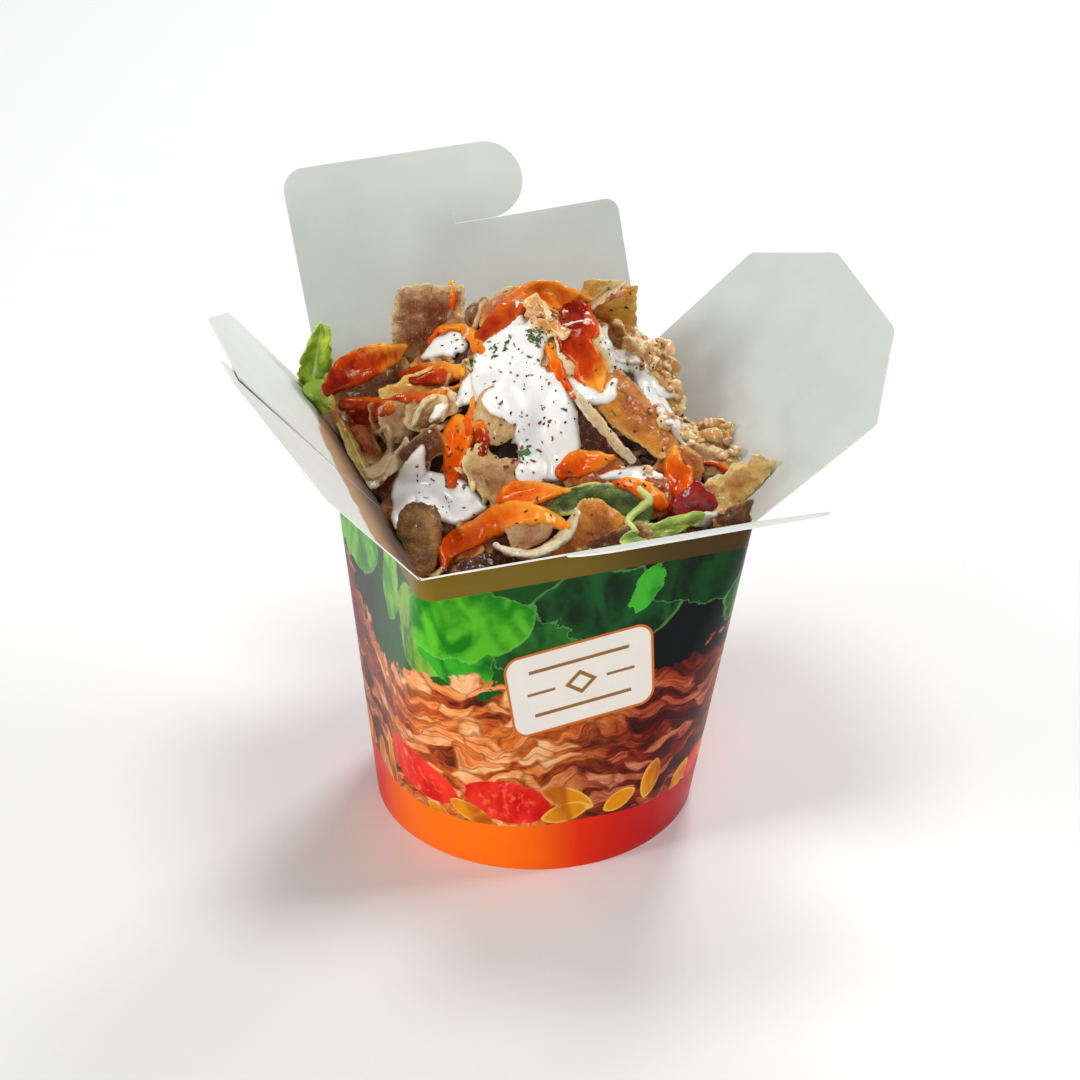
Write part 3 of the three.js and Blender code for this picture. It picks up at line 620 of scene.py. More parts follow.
def lay_roast(nodes, shader, dull, wet, relief, strength, **values):
    """Gives a finish the roasted surface, with a roughness from dull to wet."""
    roast = nodes.group(ROAST, **values).outputs
    sockets = {"Value": roast["Wetness"], "To Min": dull, "To Max": wet}
    nodes.put(shader["Roughness"], nodes.add("MapRange", sockets).outputs[0])
    lay_surface(nodes, shader, roast["Colour"], roast["Height"], relief, strength)


def meat_finish(name, lean, browned, rim, browning=0.5, rim_width=0.3, grain=1.0, gloss=0.3, glow=0.12):
    material, nodes, shader = wet_meat(name, gloss, glow)
    lay_roast(nodes, shader, 0.52, 0.26, 0.0008, 0.9, Lean=colour(*lean), Browned=colour(*browned),
              Rim=colour(*rim), Browning=browning, Rim_Width=rim_width, Grain=grain)
    return material


# look: lean, browned and rim, browning, rim width, grain, gloss, glow
MEAT_LOOKS = {
    "tan": ((236, 194, 128), (150, 90, 42), (250, 222, 170), 0.48),
    "brown": ((180, 116, 54), (104, 54, 24), (218, 172, 110), 0.66),
    # the dark look is meat coloured dark red-brown as painted shade, for slices lying low in shadow under
    # others
    "dark": ((124, 36, 16), (78, 18, 10), (160, 80, 40), 0.7, 0.2, 0.6, 0.6),
    "golden": ((246, 156, 44), (176, 84, 14), (246, 190, 98), 0.52, 0.25, 0.6, 0.5),
    "glazed": ((228, 128, 34), (170, 66, 14), (236, 170, 90), 0.6, 0.3, 0.5, 0.7),
    "roll": ((196, 144, 78), (112, 68, 34), (90, 48, 24), 0.5, 0.55, 0.5, 0.5),
    "fat": ((250, 222, 174), (222, 160, 98), (255, 240, 210), 0.34, 0.4, 0.8, 0.6, 0.3),
    "crumbly": ((255, 210, 126), (208, 128, 50), (255, 230, 170), 0.42, 0.35, 1.0, 0.6, 0.2),
    "standing": ((230, 186, 128), (126, 52, 20), (240, 208, 156), 0.66, 0.25),
    "corner": ((255, 216, 104), (230, 128, 26), (255, 210, 120), 0.5, 0.25, 0.6, 0.7, 0.3),
    "oval": ((222, 184, 128), (150, 100, 52), (200, 150, 92), 0.42, 0.35, 0.5, 0.5),
    "pink": ((226, 178, 130), (184, 118, 70), (240, 204, 160), 0.4),
}
MEATS = {look: meat_finish("meat_" + look, *row) for look, row in MEAT_LOOKS.items()}


def loose_finish(name, pales, brown, rim, gloss=0.35):
    """Loose scraps: the roasted surface with a lean colour that changes from scrap to scrap."""
    material, nodes, shader = wet_meat(name, gloss, 0.15)
    shade = nodes.add("Attribute", attribute_name="shade").outputs["Fac"]
    lean = nodes.ramp(shade, *[(k / (len(pales) - 1), colour(*tint)) for k, tint in enumerate(pales)])
    lay_roast(nodes, shader, 0.5, 0.25, 0.0004, 0.8, Lean=lean, Browned=colour(*brown), Rim=colour(*rim),
              Browning=0.55, Rim_Width=0.4, Grain=0.8)
    return material


# look: three lean colours, browned, rim, gloss
SCRAP_LOOKS = {
    "tan": ([(228, 184, 118), (200, 146, 84), (234, 200, 148)], (140, 82, 40), (240, 208, 154)),
    "brown": ([(172, 108, 54), (134, 74, 38), (194, 132, 70)], (92, 44, 22), (212, 164, 106)),
    "glazed": ([(224, 122, 34), (200, 84, 22), (232, 150, 66)], (150, 54, 14), (238, 174, 92)),
    "pale": ([(255, 226, 172), (236, 180, 104), (255, 212, 138)], (214, 138, 58), (255, 222, 164), 0.9),
}
SCRAPS = {look: loose_finish("scraps_" + look, *row) for look, row in SCRAP_LOOKS.items()}


def scrap_finish(name, pale, dark, shine=0.4):
    """Small scraps and crumbs, coloured by place alone."""
    material, nodes, shader = new_finish(name, 0.42, Specular_IOR_Level=0.3, Coat_Weight=shine,
                                         Coat_Roughness=0.12)
    place = nodes.place()
    big, small = nodes.noise(place, 0.12, 2), nodes.noise(place, 1.4, 4, 0.65)
    share = nodes.plus(nodes.times(big, 0.8), nodes.times(small, 0.5))
    lay_surface(nodes, shader, nodes.ramp(share, (0.48, colour(*dark)), (0.80, colour(*pale))), small,
                0.0004, 0.8)
    return material


def garlic_finish():
    material, nodes, shader = new_finish(
        "garlic_sauce", 0.3, Coat_Weight=0.3, Coat_Roughness=0.1, Subsurface_Weight=0.35,
        Subsurface_Scale=0.002, Subsurface_Radius=(1.0, 0.8, 0.6))
    place = nodes.place()
    edge = nodes.add("Attribute", attribute_name="edge").outputs["Fac"]
    cloud = nodes.noise(place, 0.3, 3)
    rim = nodes.step(nodes.plus(edge, nodes.times(nodes.minus(cloud, 0.5), 0.5)), 0.0, 0.3)
    lay_surface(nodes, shader, nodes.blend(rim, colour(232, 216, 190), colour(246, 244, 238)),
                nodes.noise(place, 0.5, 2), 0.0003, 0.35)
    return material


def chilli_finish(name, thin, full, dark, darkness):
    material, nodes, shader = new_finish(
        name, 0.13, Specular_IOR_Level=0.35, Specular_Tint=AMBER, Coat_Weight=0.12, Coat_Roughness=0.04,
        Subsurface_Weight=0.15, Subsurface_Scale=0.0015, Subsurface_Radius=(1.0, 0.3, 0.05))
    place = nodes.place()
    depth = nodes.add("Attribute", attribute_name="depth").outputs["Fac"]
    cloud = nodes.noise(place, 0.16, 3, 0.5, 0.6)
    streak = nodes.noise(nodes.mapping(place, (0.5, 0.16, 0.3), (0.3, 0, 0.4)), 1.0, 2)
    share = nodes.plus(nodes.times(depth, 0.8), nodes.times(cloud, 0.4))
    share = nodes.plus(share, nodes.times(nodes.minus(streak, 0.5), 0.5))
    tint = nodes.ramp(share, (0.28, colour(*thin)), (0.62 - 0.14 * darkness, colour(*full)),
                      (1.1 - 0.44 * darkness, colour(*dark)))
    fleck = nodes.step(nodes.noise(place, 1.7, 2), 0.70, 0.76, 0.0, 0.7)
    lay_surface(nodes, shader, nodes.blend(fleck, tint, colour(120, 24, 10)), nodes.noise(place, 0.6, 3),
                0.0005, 0.4)
    return material


GARLIC = garlic_finish()
# look: thin, full and dark sauce, darkness
CHILLI_LOOKS = {
    "bright": ((248, 156, 44), (238, 96, 4), (188, 42, 2), 0.1),
    "amber": ((232, 144, 44), (212, 90, 8), (156, 28, 4), 0.4),
    "deep": ((248, 168, 50), (206, 64, 6), (136, 16, 2), 0.5),
    "dark": ((226, 112, 20), (176, 44, 4), (104, 8, 2), 0.6),
}
CHILLI = {look: chilli_finish("chilli_" + look, *row) for look, row in CHILLI_LOOKS.items()}


def leaf_finish(name, blade, deep, rib, veined=1.0, margin=0.44):
    material, nodes, shader = new_finish(
        name, 0.36, Specular_IOR_Level=0.3, Coat_Weight=0.25, Coat_Roughness=0.15, Subsurface_Weight=0.25,
        Subsurface_Scale=0.0008, Subsurface_Radius=(0.5, 1.0, 0.2))
    place = nodes.place()
    axes = nodes.axes(nodes.add("TexCoord").outputs["UV"])
    aside = nodes.math("ABSOLUTE", nodes.minus(axes[1], 0.5))
    slanted = nodes.plus(nodes.times(axes[0], 16.0), nodes.times(aside, -13.0))
    slanted = nodes.plus(slanted, nodes.times(nodes.noise(place, 0.3, 2), 2.4))
    side_veins = nodes.step(nodes.math("ABSOLUTE", nodes.math("SINE", slanted)), 0.0, 0.22, 1.0, 0.0)
    midrib = nodes.step(aside, 0.01, 0.07, veined, 0.0)
    rim = nodes.step(nodes.plus(aside, nodes.times(nodes.noise(place, 0.8, 2), 0.12)), margin, margin + 0.12)
    cloud = nodes.step(nodes.noise(place, 0.22, 3), 0.35, 0.65)
    rib = colour(*rib)
    surface = nodes.blend(cloud, colour(*deep), colour(*blade))
    surface = nodes.blend(nodes.times(side_veins, 0.35 * veined), surface, rib)
    surface = nodes.blend(nodes.math("MAXIMUM", midrib, rim), surface, rib)
    puff = nodes.minus(nodes.noise(place, 0.7, 2), nodes.times(nodes.plus(side_veins, midrib), 0.35))
    lay_surface(nodes, shader, surface, puff, 0.0006, 0.8)
    return material


# look: blade, deep, rib, how veined, margin
LEAF_LOOKS = {
    "bright": ((202, 228, 70), (136, 176, 40), (222, 232, 132)),
    "deep": ((96, 112, 36), (50, 62, 20), (206, 220, 120), 0.0, 0.38),
    "stem": ((190, 170, 84), (150, 122, 52), (222, 208, 132)),
    "rib": ((178, 200, 92), (134, 160, 60), (206, 218, 132), 0.3),
    "frill": ((180, 206, 80), (120, 160, 40), (168, 200, 66), 0.3),
}
LEAVES = {look: leaf_finish("lettuce_" + look, *row) for look, row in LEAF_LOOKS.items()}


def tomato_finish():
    material, nodes, shader = new_finish("tomato_flesh", 0.2, Specular_IOR_Level=0.3, Coat_Weight=0.5,
                                         Coat_Roughness=0.06,
                                         Subsurface_Weight=0.2, Subsurface_Scale=0.0015)
    place = nodes.place()
    lay_surface(nodes, shader, nodes.ramp(nodes.noise(place, 0.3, 3), (0.35, colour(110, 14, 16)),
                                          (0.7, colour(190, 36, 24))), nodes.noise(place, 0.8, 3), 0.0005,
                                          0.5)
    return material


# ---- the carton ----

def wall_points(quarters, share, inset=0.0):
    """Points of the wall's outside: quarters round it from the middle of the front, share of its height."""
    side = np.round(quarters)
    local = quarters - side
    radius = (1 - share) * BASE_RADIUS + share * CORNER_RADIUS - inset
    straight = share * CORNER
    along = np.abs(local) * 2 * (straight + radius * math.pi / 4)
    angle = np.maximum(along - straight, 0) / radius
    tangent = np.sign(local) * (np.minimum(along, straight) + radius * np.sin(angle))
    outward = straight + radius * np.cos(angle)
    turn = side * math.pi / 2 - math.pi / 2
    x = outward * np.cos(turn) - tangent * np.sin(turn)
    y = outward * np.sin(turn) + tangent * np.cos(turn)
    return x, y


def crowd_to_corners(places):
    """Moves evenly spread places, in quarters, closer to the mouth's corners."""
    side = np.round(places)
    local = (places - side) * 2
    return side + np.sign(local) * (1 - (1 - np.abs(local)) ** 1.35) / 2


def make_wall():
    wall = new_grid("carton_wall", 232, 30)
    s, t = grid_places(wall)
    share = (t + 1) / 2
    quarters = crowd_to_corners(2 * s)
    x, y = wall_points(quarters, share)
    set_points(wall, np.column_stack([x, y, share * CREASE]))
    chart = wall.data.uv_layers.active.data
    order = np.empty(len(wall.data.loops), int)
    wall.data.loops.foreach_get("vertex_index", order)
    spread = np.column_stack([quarters / 4 + 0.5, share])[order]
    chart.foreach_set("uv", spread.ravel())
    in_edit_mode(
        wall,
        lambda: bpy.ops.mesh.remove_doubles(threshold=0.00002),
        lambda: bpy.ops.mesh.normals_make_consistent(inside=False),
    )
    for finish in (PRINT, INSIDE_WALL_STAIN_AND_SHADE, BOARD_EDGE):
        wall.data.materials.append(finish)
    apply_modifier(wall, "SOLIDIFY", thickness=BOARD * MM, offset=-1, material_offset=1,
                   material_offset_rim=2)
    apply_modifier(wall, "BEVEL", width=0.2 * MM, segments=2, limit_method="ANGLE",
                   angle_limit=math.radians(50))
    finish_piece(wall, "packed_box", "print", [], "wall")


def make_base():
    deselect()
    bpy.ops.mesh.primitive_cylinder_add(vertices=96, radius=(BASE_RADIUS - BOARD - GAP) * MM,
                                        depth=BASE_BOARD * MM,
                                        location=(0, 0, BASE_BOARD / 2 * MM))
    base = named(bpy.context.object, "carton_base")
    bpy.ops.object.transform_apply(location=True)
    apply_modifier(base, "BEVEL", width=0.15 * MM, segments=2, limit_method="ANGLE")
    finish_piece(base, "packed_box", "board", [BOARD_PLAIN], "base")
    base.data.shade_flat()


def arc(x, y, radius, start, end, steps=14):
    angles = [math.radians(start + (end - start) * k / steps) for k in range(steps + 1)]
    return [(x + radius * math.cos(a), y + radius * math.sin(a)) for a in angles]


def main_flap_outline():
    """A hook tab with a round end, a slit under it and a lower shoulder."""
    top, shoulder = 65.0, 44.0
    tab, tab_side, tab_corner = 10.7, 47.0, 6.5
    edge = top - 2 * tab
    outline = [(-FLAP_FOOT, FLAP_START)]
    outline += arc(-tab_side + tab_corner, top - tab_corner, tab_corner, 180, 90)
    outline += arc(10, top - tab, tab, 90, -90, 24)
    outline += [(-0.5, edge), (-0.5, edge + 4.5), (-0.65, edge + 4.5), (-0.65, edge - 0.14), (12, edge - 0.1)]
    outline += arc(46.6 - 3.5, shoulder - 3.5, 3.5, 90, 0, 8)
    return outline + [(FLAP_FOOT, FLAP_START)]


def side_flap_corners(side, slip):
    """One end of a side flap, from its fold up to its top edge."""
    tip = 21.5 - slip
    top = SIDE_FLAP_TOP + slip
    corner = [(tip + 5.2, top - 3.9), (tip + 3.0, top - 2.1), (tip + 0.6, top - 0.6), (tip - 1.6, top)]
    return [(side * u, v) for u, v in [(FLAP_FOOT, FLAP_START), (48.0, 39.6), (47.6, 41.4)] + corner]


def side_flap_outline(start, end, slip=0.0):
    """The flap between two places along its fold: a place beyond its foot leaves its own end."""
    top = SIDE_FLAP_TOP + slip
    right = side_flap_corners(1, slip) if end > 45 else [(end, FLAP_START), (end, top)]
    left = side_flap_corners(-1, slip) if start < -45 else [(start, FLAP_START), (start, top)]
    return right + left[::-1]


# How far the far end of each flap hangs below its plane
DIP = {"back": 0.0, "front": 1.6, "left": 0.0, "right": 0.0}


def make_flap(name, side, outline, level, finishes, node=None):
    """Board cut to an outline, with the fold's rounded foot, turned on its fold line."""
    if sum(a[0] * b[1] - b[0] * a[1] for a, b in zip(outline, outline[1:] + outline[:1])) < 0:
        outline = outline[::-1]
    deselect()
    bpy.ops.mesh.primitive_circle_add(vertices=len(outline), radius=0.05, fill_type="NGON")
    flap = named(bpy.context.object, name)
    set_points(flap, [(u, v, 0) for u, v in outline])
    for finish in finishes:
        flap.data.materials.append(finish)
    apply_modifier(flap, "SOLIDIFY", thickness=BOARD * MM, offset=0, material_offset=1, material_offset_rim=2)
    apply_modifier(flap, "BEVEL", width=0.12 * MM, segments=2, limit_method="ANGLE",
                   angle_limit=math.radians(60))
    points = points_of(flap)
    points[:, 2] += level * (0.1 + 1.4 * points[:, 1] / 60)
    points[:, 2] -= DIP[side] * (np.maximum(points[:, 1] - 30, 0) / 35) ** 2
    open_angle, turn = math.radians(OPEN[side]), math.radians(TURN[side])
    x = points[:, 0]
    y = FOLD_OFFSET + points[:, 1] * math.cos(open_angle) - points[:, 2] * math.sin(open_angle)
    z = CREASE + points[:, 1] * math.sin(open_angle) + points[:, 2] * math.cos(open_angle)
    set_points(flap, np.column_stack([x * math.cos(turn) - y * math.sin(turn),
                                      x * math.sin(turn) + y * math.cos(turn), z]))
    finish_piece(flap, "lid_" + side, "board", [], *([node] if node else []))
    flap.data.shade_flat()
    return flap


# ---- the heap ----

def heap_height(x, y):
    away = (x - HEAP["x"]) ** 2 + (y - HEAP["y"]) ** 2
    return HEAP["sink"] + HEAP["height"] * np.exp(-away / (2 * HEAP["spread"] ** 2))


def keep_in_room(points, clearance=0.0, swept=False):
    """Keeps food inside the wall and between the flaps, as they stand or swung in as far as they go."""
    x, y, z = points.T.copy()
    def reach(side):
        angle = math.radians(OPEN[side] + (INWARD[side] if swept else 0))
        return FOLD_OFFSET + np.maximum(z,
                                        0) / math.tan(angle) - (BOARD / 2 + GAP + clearance) / math.sin(angle)
    above = z > 0
    x = np.where(above, np.clip(x, -reach("left"), reach("right")), x)
    y = np.where(above, np.clip(y, -reach("front"), reach("back")), y)
    share = np.clip(1 + z / CREASE, 0, 1)
    radius = (1 - share) * BASE_RADIUS + share * CORNER_RADIUS - BOARD - GAP - clearance
    out_x, out_y = np.abs(x) - share * CORNER, np.abs(y) - share * CORNER
    both = (out_x > 0) & (out_y > 0)
    length = np.maximum(np.hypot(out_x, out_y), 1e-6)
    pull = np.where(both & (length > radius), radius / length, 1.0)
    in_x = share * CORNER + np.where(both, np.maximum(out_x, 0) * pull, np.minimum(out_x, radius))
    in_y = share * CORNER + np.where(both, np.maximum(out_y, 0) * pull, np.minimum(out_y, radius))
    x = np.where(~above, np.sign(x) * in_x, x)
    y = np.where(~above, np.sign(y) * in_y, y)
    return np.column_stack([x, y, z])


def sheet_points(s, t, piece, rounding=0.36):
    """The middle surface of a curled slice at places from -1 to 1 along and across it."""
    at, along, facing, size, curl, twist, ripple, taper = piece
    length, width, _ = size
    def bent(distance, degrees, span):
        if abs(degrees) < 0.5:
            return distance, 0 * distance
        radius = span / math.radians(degrees)
        return radius * np.sin(distance / radius), -radius * (1 - np.cos(distance / radius))
    round_s, round_t = np.sqrt(np.maximum(1 - rounding * t * t,
                                          0.3)), np.sqrt(np.maximum(1 - rounding * s * s, 0.3))
    u, drop_along = bent(s * length * round_s / 2, curl[0], length)
    v, drop_across = bent(t * width * (1 + taper * s) * round_t / 2, curl[1], width)
    wave = ripple * np.sin(3.1 * s + 1.7 * t + at[0]) * np.cos(2.3 * t - 1.3 * s + at[1])
    lift = drop_along + drop_across + wave
    roll = math.radians(twist) * s
    local = np.column_stack([u, v * np.cos(roll) - lift * np.sin(roll),
                             v * np.sin(roll) + lift * np.cos(roll)])
    x_axis = Vector(along).normalized()
    y_axis = Vector(facing).cross(x_axis).normalized()
    z_axis = x_axis.cross(y_axis)
    return local @ np.array([x_axis, y_axis, z_axis]) + np.array(at)


def uneven(s, t, length, width, ragged, seed, lobed=1.0):
    """Places of a grid pulled to an uneven outline with a torn rim."""
    reach = np.maximum(np.maximum(np.abs(s), np.abs(t)), 1e-6)
    rim = np.column_stack([s / reach * length / 2, t / reach * width / 2, 0 * s])
    size = math.sqrt(length * width)
    lobes = 0.17 * lumps(rim, 0.42 * size, seed) + 0.07 * lumps(rim, 0.2 * size, seed + 5)
    growth = 1 + lobed * lobes * reach ** 2
    near_rim = smoothstep(reach, 0.5, 1.0)
    bite = np.clip(0.45 + 0.6 * lumps(rim, 3.4, seed + 1) + 0.75 * lumps(rim, 1.4, seed + 9), -0.3, 1.6)
    pull = near_rim * ragged * bite
    s_new = s * growth * (1 - np.abs(s) ** 2 * pull * 2 / length)
    t_new = t * growth * (1 - np.abs(t) ** 2 * pull * 2 / width)
    return s_new, t_new, reach


def make_sheet(name, piece, slot, finish, ragged=1.0, rim=0.3, layers=((2.2, 0.34), (0.85, 0.2)), detail=0.85,
               frill=0.0, crumple=0.8, thin=0.72, node=None, rounding=0.36, lobed=1.0):
    """A slice or leaf: a grid with a torn outline, curled, crumpled, thickened, softened and roughened."""
    length, width, thickness = piece[3]
    across, along = max(8, round(length / detail)), max(6, round(width / detail))
    sheet = new_grid(name, across, along)
    s, t = grid_places(sheet)
    seed = 0.37 * piece[0][0] + 0.61 * piece[0][1]
    s_new, t_new, reach = uneven(s, t, length, width, ragged, seed, lobed)
    places = np.column_stack([s * length / 2, t * width / 2, 0 * s])
    points = sheet_points(s_new, t_new, piece, rounding)
    facing = np.array(Vector(piece[2]).normalized())
    wave = crumple * (0.9 * lumps(places, 6.5, seed + 4) + 0.45 * lumps(places, 2.8,
                                                                        seed + 7)) * (0.4 + 0.6 * reach)
    wave = wave + frill * lumps(places, 3.6, seed + 6) * smoothstep(np.abs(t), 0.25, 1.0)
    points = points + facing * wave[:, None]
    set_points(sheet, points + TO_FOLDS)
    group = sheet.vertex_groups.new(name="thickness")
    thick = 1 - (1 - rim) * smoothstep(reach, 0.45, 1.0) + 0.25 * lumps(places, 3.2, seed + 2)
    for k, value in enumerate(np.clip(thick, 0.14, 1).tolist()):
        group.add([k], value, "REPLACE")
    apply_modifier(sheet, "SOLIDIFY", thickness=thin * thickness * MM, offset=0, vertex_group="thickness",
                   thickness_vertex_group=0.0)
    sheet.vertex_groups.clear()
    apply_modifier(sheet, "SUBSURF", levels=1, render_levels=1)
    roughen(sheet, seed, *layers)
    points = points_of(sheet) - TO_FOLDS
    set_points(sheet, keep_in_room(points) + TO_FOLDS)
    return finish_piece(sheet, "packed_box", slot, [finish], *([node] if node else []))


# name: at, along, facing, size, curl, twist, ripple, taper, finish, raggedness
SLICES = {
    "meat_pale_strip": ((13, -18, 19), (0.48, -0.56, -0.68), (-0.3, -0.5, 0.8), (27, 3.6, 2.2), (30, 0), 25,
                        0.9, 0, "fat", 1.0),
    "meat_standing_back": ((-20, 33, 28.5), (0.08, 0.1, 1), (-0.25, -0.95, 0.1), (23.5, 20.5, 2.4),
                           (-10, -20), 4, 0.5, 0, "standing", 1.3),
    "meat_corner_back": ((30.8, 31.8, 21.6), (0.12, 0.12, 1), (-0.4, -0.9, 0.15), (23, 17, 2.4), (-20, 14),
                         4, 0.5, 0, "corner", 1.0),
    "meat_top_back": ((3.7, 18.2, 36.6), (1, 0, 0.05), (-0.1, -0.3, 0.95), (32, 19, 2.6), (62, 34), 8, 1, 0,
                      "glazed", 1.2),
    "meat_tongue": ((14, -1, 30), (0.15, -0.6, -0.78), (0, -0.75, 0.65), (24, 17, 2.6), (24, 34), 6, 0.5, 0,
                    "fat", 1.0),
    "meat_broad_right": ((25, -11, 19), (0.62, -0.5, -0.6), (0.45, -0.5, 0.72), (33, 19, 2.8), (24, 66), -8,
                         0.6, 0, "golden", 1.0),
    "meat_oval": ((-14, -8, 22), (-0.1, -0.6, -0.78), (-0.15, -0.75, 0.6), (17, 12, 4.5), (34, 50), 0, 0.3,
                  0.25, "oval", 0.4),
    "meat_dome_left": ((-38.9, 26.8, 17.2), (0.95, 0.05, 0.15), (-0.2, -0.6, 0.78), (26, 16, 2.6), (34, 44),
                       0, 0.7, 0, "brown", 1.0),
    "meat_yellow_left": ((-30, 15, 19), (0.95, 0.1, 0.2), (-0.2, -0.8, 0.55), (20, 10, 2.4), (30, 22), 8,
                         0.5, 0, "corner", 1.0),
    "meat_roll_front": ((-42, -30, 0.5), (0.22, 0.45, 0.87), (-0.3, -0.85, 0.45), (23, 17, 2.6), (14, 160),
                        0, 0.3, 0, "roll", 0.6),
    "meat_curl_left": ((-41.2, 0.6, 4.4), (0.78, 0.1, 0.6), (-0.5, -0.1, 0.84), (25, 6, 2.0), (-112, 10),
                       16, 0.8, -0.2, "fat", 1.3),
    "meat_strip_left": ((-43, 19, 6), (0.1, -0.7, -0.6), (-0.65, -0.5, 0.6), (20, 7.5, 2.2), (40, 16), 14,
                        0.6, 0, "glazed", 0.8),
    "meat_left_upper": ((-36, 13, 12), (0.3, -0.5, -0.75), (-0.2, -0.75, 0.6), (16, 11, 2.4), (20, 40), 0,
                        0.5, 0, "brown", 0.8),
    "meat_left_inner": ((-27, 7, 18), (0.8, -0.3, 0.4), (-0.2, -0.7, 0.7), (17, 10, 2.6), (-34, 20), 18,
                        0.8, 0, "tan", 1.2),
    "meat_under_strip": ((9, -15, 15), (0.3, -0.5, -0.75), (0, -0.8, 0.6), (18, 15, 2.4), (10, -20), 0, 0.5,
                         0, "dark", 0.8),
    "meat_ragged_back": ((37.5, 14, 18), (0.8, 0.3, -0.35), (0.15, -0.6, 0.78), (18, 13, 3.4), (20, 24), 12,
                         1.3, 0, "crumbly", 2.4),
    "meat_ragged_middle": ((37, 2, 15), (0.6, -0.35, -0.6), (0.2, -0.6, 0.75), (17, 10, 3.2), (24, 20), -14,
                           1.2, 0, "crumbly", 2.2),
    "meat_ragged_right": ((47, -10, 4.5), (0.9, -0.15, -0.1), (0.05, -0.6, 0.8), (16, 12, 3.0), (-30, 16),
                          14, 1.2, 0, "crumbly", 2.2),
    "meat_tip_right": ((46, -34, 4.5), (0.86, 0.12, 0.42), (-0.2, -0.75, 0.62), (23, 12, 2.6), (-22, 16),
                       10, 0.8, -0.25, "crumbly", 2.0),
    "meat_under_tip": ((43, -41, -0.5), (0.95, 0, 0.2), (0, -0.7, 0.7), (15, 8, 2.4), (14, 20), 0, 0.5, 0,
                       "brown", 1.2),
    "meat_right_upper": ((37, -13, 9), (0.7, -0.4, -0.5), (0.3, -0.5, 0.8), (20, 10, 2.6), (18, 26), 10,
                         0.9, 0, "crumbly", 1.8),
    "meat_right_lower": ((42, -21, 5), (0.8, -0.3, -0.2), (0.1, -0.6, 0.8), (18, 11, 2.6), (-18, 20), -10,
                         0.9, 0, "tan", 1.8),
    "meat_triangle": ((4.2, -39, 0.5), (-0.05, 0.45, 0.85), (0.05, -0.9, 0.45), (19, 23, 2.4), (8, 22), 0,
                      0.4, -0.76, "golden", 0.7),
    "meat_crescent": ((-11, -41, -1), (0.97, 0.05, 0.2), (0.05, 0.45, 0.85), (29, 7.5, 4.2), (-118, 20), 0,
                      0.3, 0, "fat", 0.4),
    "meat_nub_front": ((-13, -36, 3), (0.85, 0.1, 0.3), (-0.1, -0.7, 0.7), (13, 10, 3.4), (20, 50), 0, 0.5,
                       0, "pink", 0.8),
    "meat_fold_middle": ((-18, -18, 9), (0.45, -0.6, -0.65), (-0.1, -0.75, 0.65), (20, 12, 2.6), (14, 30),
                         -10, 0.6, 0, "tan", 1.8),
    "meat_front_broad": ((-11, -31, 2), (0.95, -0.05, 0.2), (-0.1, -0.75, 0.65), (30, 15, 2.8), (30, 36), 6,
                         0.8, 0, "brown", 1.0),
    "meat_orange_middle": ((9, -24, 9), (0.9, -0.2, -0.1), (0, -0.7, 0.7), (18, 12, 2.6), (24, 36), 0, 0.6,
                           0, "glazed", 1.0),
    "meat_orange_front": ((20, -31, 4), (0.9, -0.1, -0.15), (0.05, -0.7, 0.7), (19, 13, 2.6), (24, 36), 8,
                          0.6, 0, "glazed", 1.0),
    "meat_orange_right": ((31, -25, 5), (0.7, 0.2, 0.45), (0.1, -0.75, 0.65), (18, 13, 2.6), (24, 40), 0,
                          0.6, 0, "glazed", 1.0),
    "meat_back_left": ((-17, 37.5, 17.5), (0.9, -0.1, 0.1), (-0.1, 0.7, 0.7), (24, 16, 2.6), (26, 30), 8,
                       0.8, 0, "brown", 1.6),
    "meat_back_middle": ((5, 38, 19.5), (0.9, 0.1, -0.1), (0, 0.7, 0.7), (25, 17, 2.6), (26, 34), -8, 0.8,
                         0, "tan", 1.6),
    "meat_back_right": ((26, 36.5, 14), (0.8, 0.2, -0.4), (0.2, 0.7, 0.65), (23, 15, 2.6), (24, 30), 6, 0.8,
                        0, "golden", 1.6),
}

# How round, and how lobed, a slice's outline is
CUT = {
    "meat_standing_back": (0.04, 0.25), "meat_corner_back": (0.1, 0.4), "meat_oval": (0.6, 0.3),
    "meat_roll_front": (0.55, 0.3),
    "meat_triangle": (0.1, 0.5), "meat_crescent": (0.2, 0.5), "meat_broad_right": (0.3, 0.6),
    "meat_tip_right": (0.2, 1.0),
}

TOPPINGS = {
    "topping_loop": ((-28.5, 4, 18.5), (0.75, 0.1, 0.65), (-0.3, -0.7, 0.6), (15, 8, 2), (10, 120), 0, 0.5,
                     0.3, "tan", 1.2),
    "topping_round": ((-36, 9, 14), (0.1, -0.5, -0.8), (0, -0.8, 0.6), (13, 10, 2.6), (24, 70), 0, 0.5, 0,
                      "pink", 0.6),
    "topping_slope": ((-32.5, -3.5, 12), (0.85, 0.1, 0.5), (0.3, -0.75, 0.6), (16, 9, 2.2), (40, 50), 10,
                      0.6, 0, "brown", 1.2),
    "topping_shard": ((19.8, 15, 36.8), (0.9, 0, 0.43), (0.05, 0.2, 0.95), (24, 7, 2.4), (-14, 20), 8, 0.8,
                      0, "tan", 1.6),
    "topping_front": ((9, -42, -1.5), (0.95, 0, 0.15), (0, -0.7, 0.7), (20, 8, 2), (10, 40), 0, 0.5, 0,
                      "brown", 1.0),
    "topping_low": ((-25, -41, -3), (0.95, 0, 0.1), (0, -0.6, 0.8), (22, 9, 2), (-16, 30), 0, 0.6, 0,
                    "dark", 1.0),
    "topping_under": ((-12, -19, 10), (0.9, 0, 0.1), (0, -0.7, 0.7), (14, 10, 2), (20, 30), 0, 0.6, 0,
                      "pink", 1.4),
}

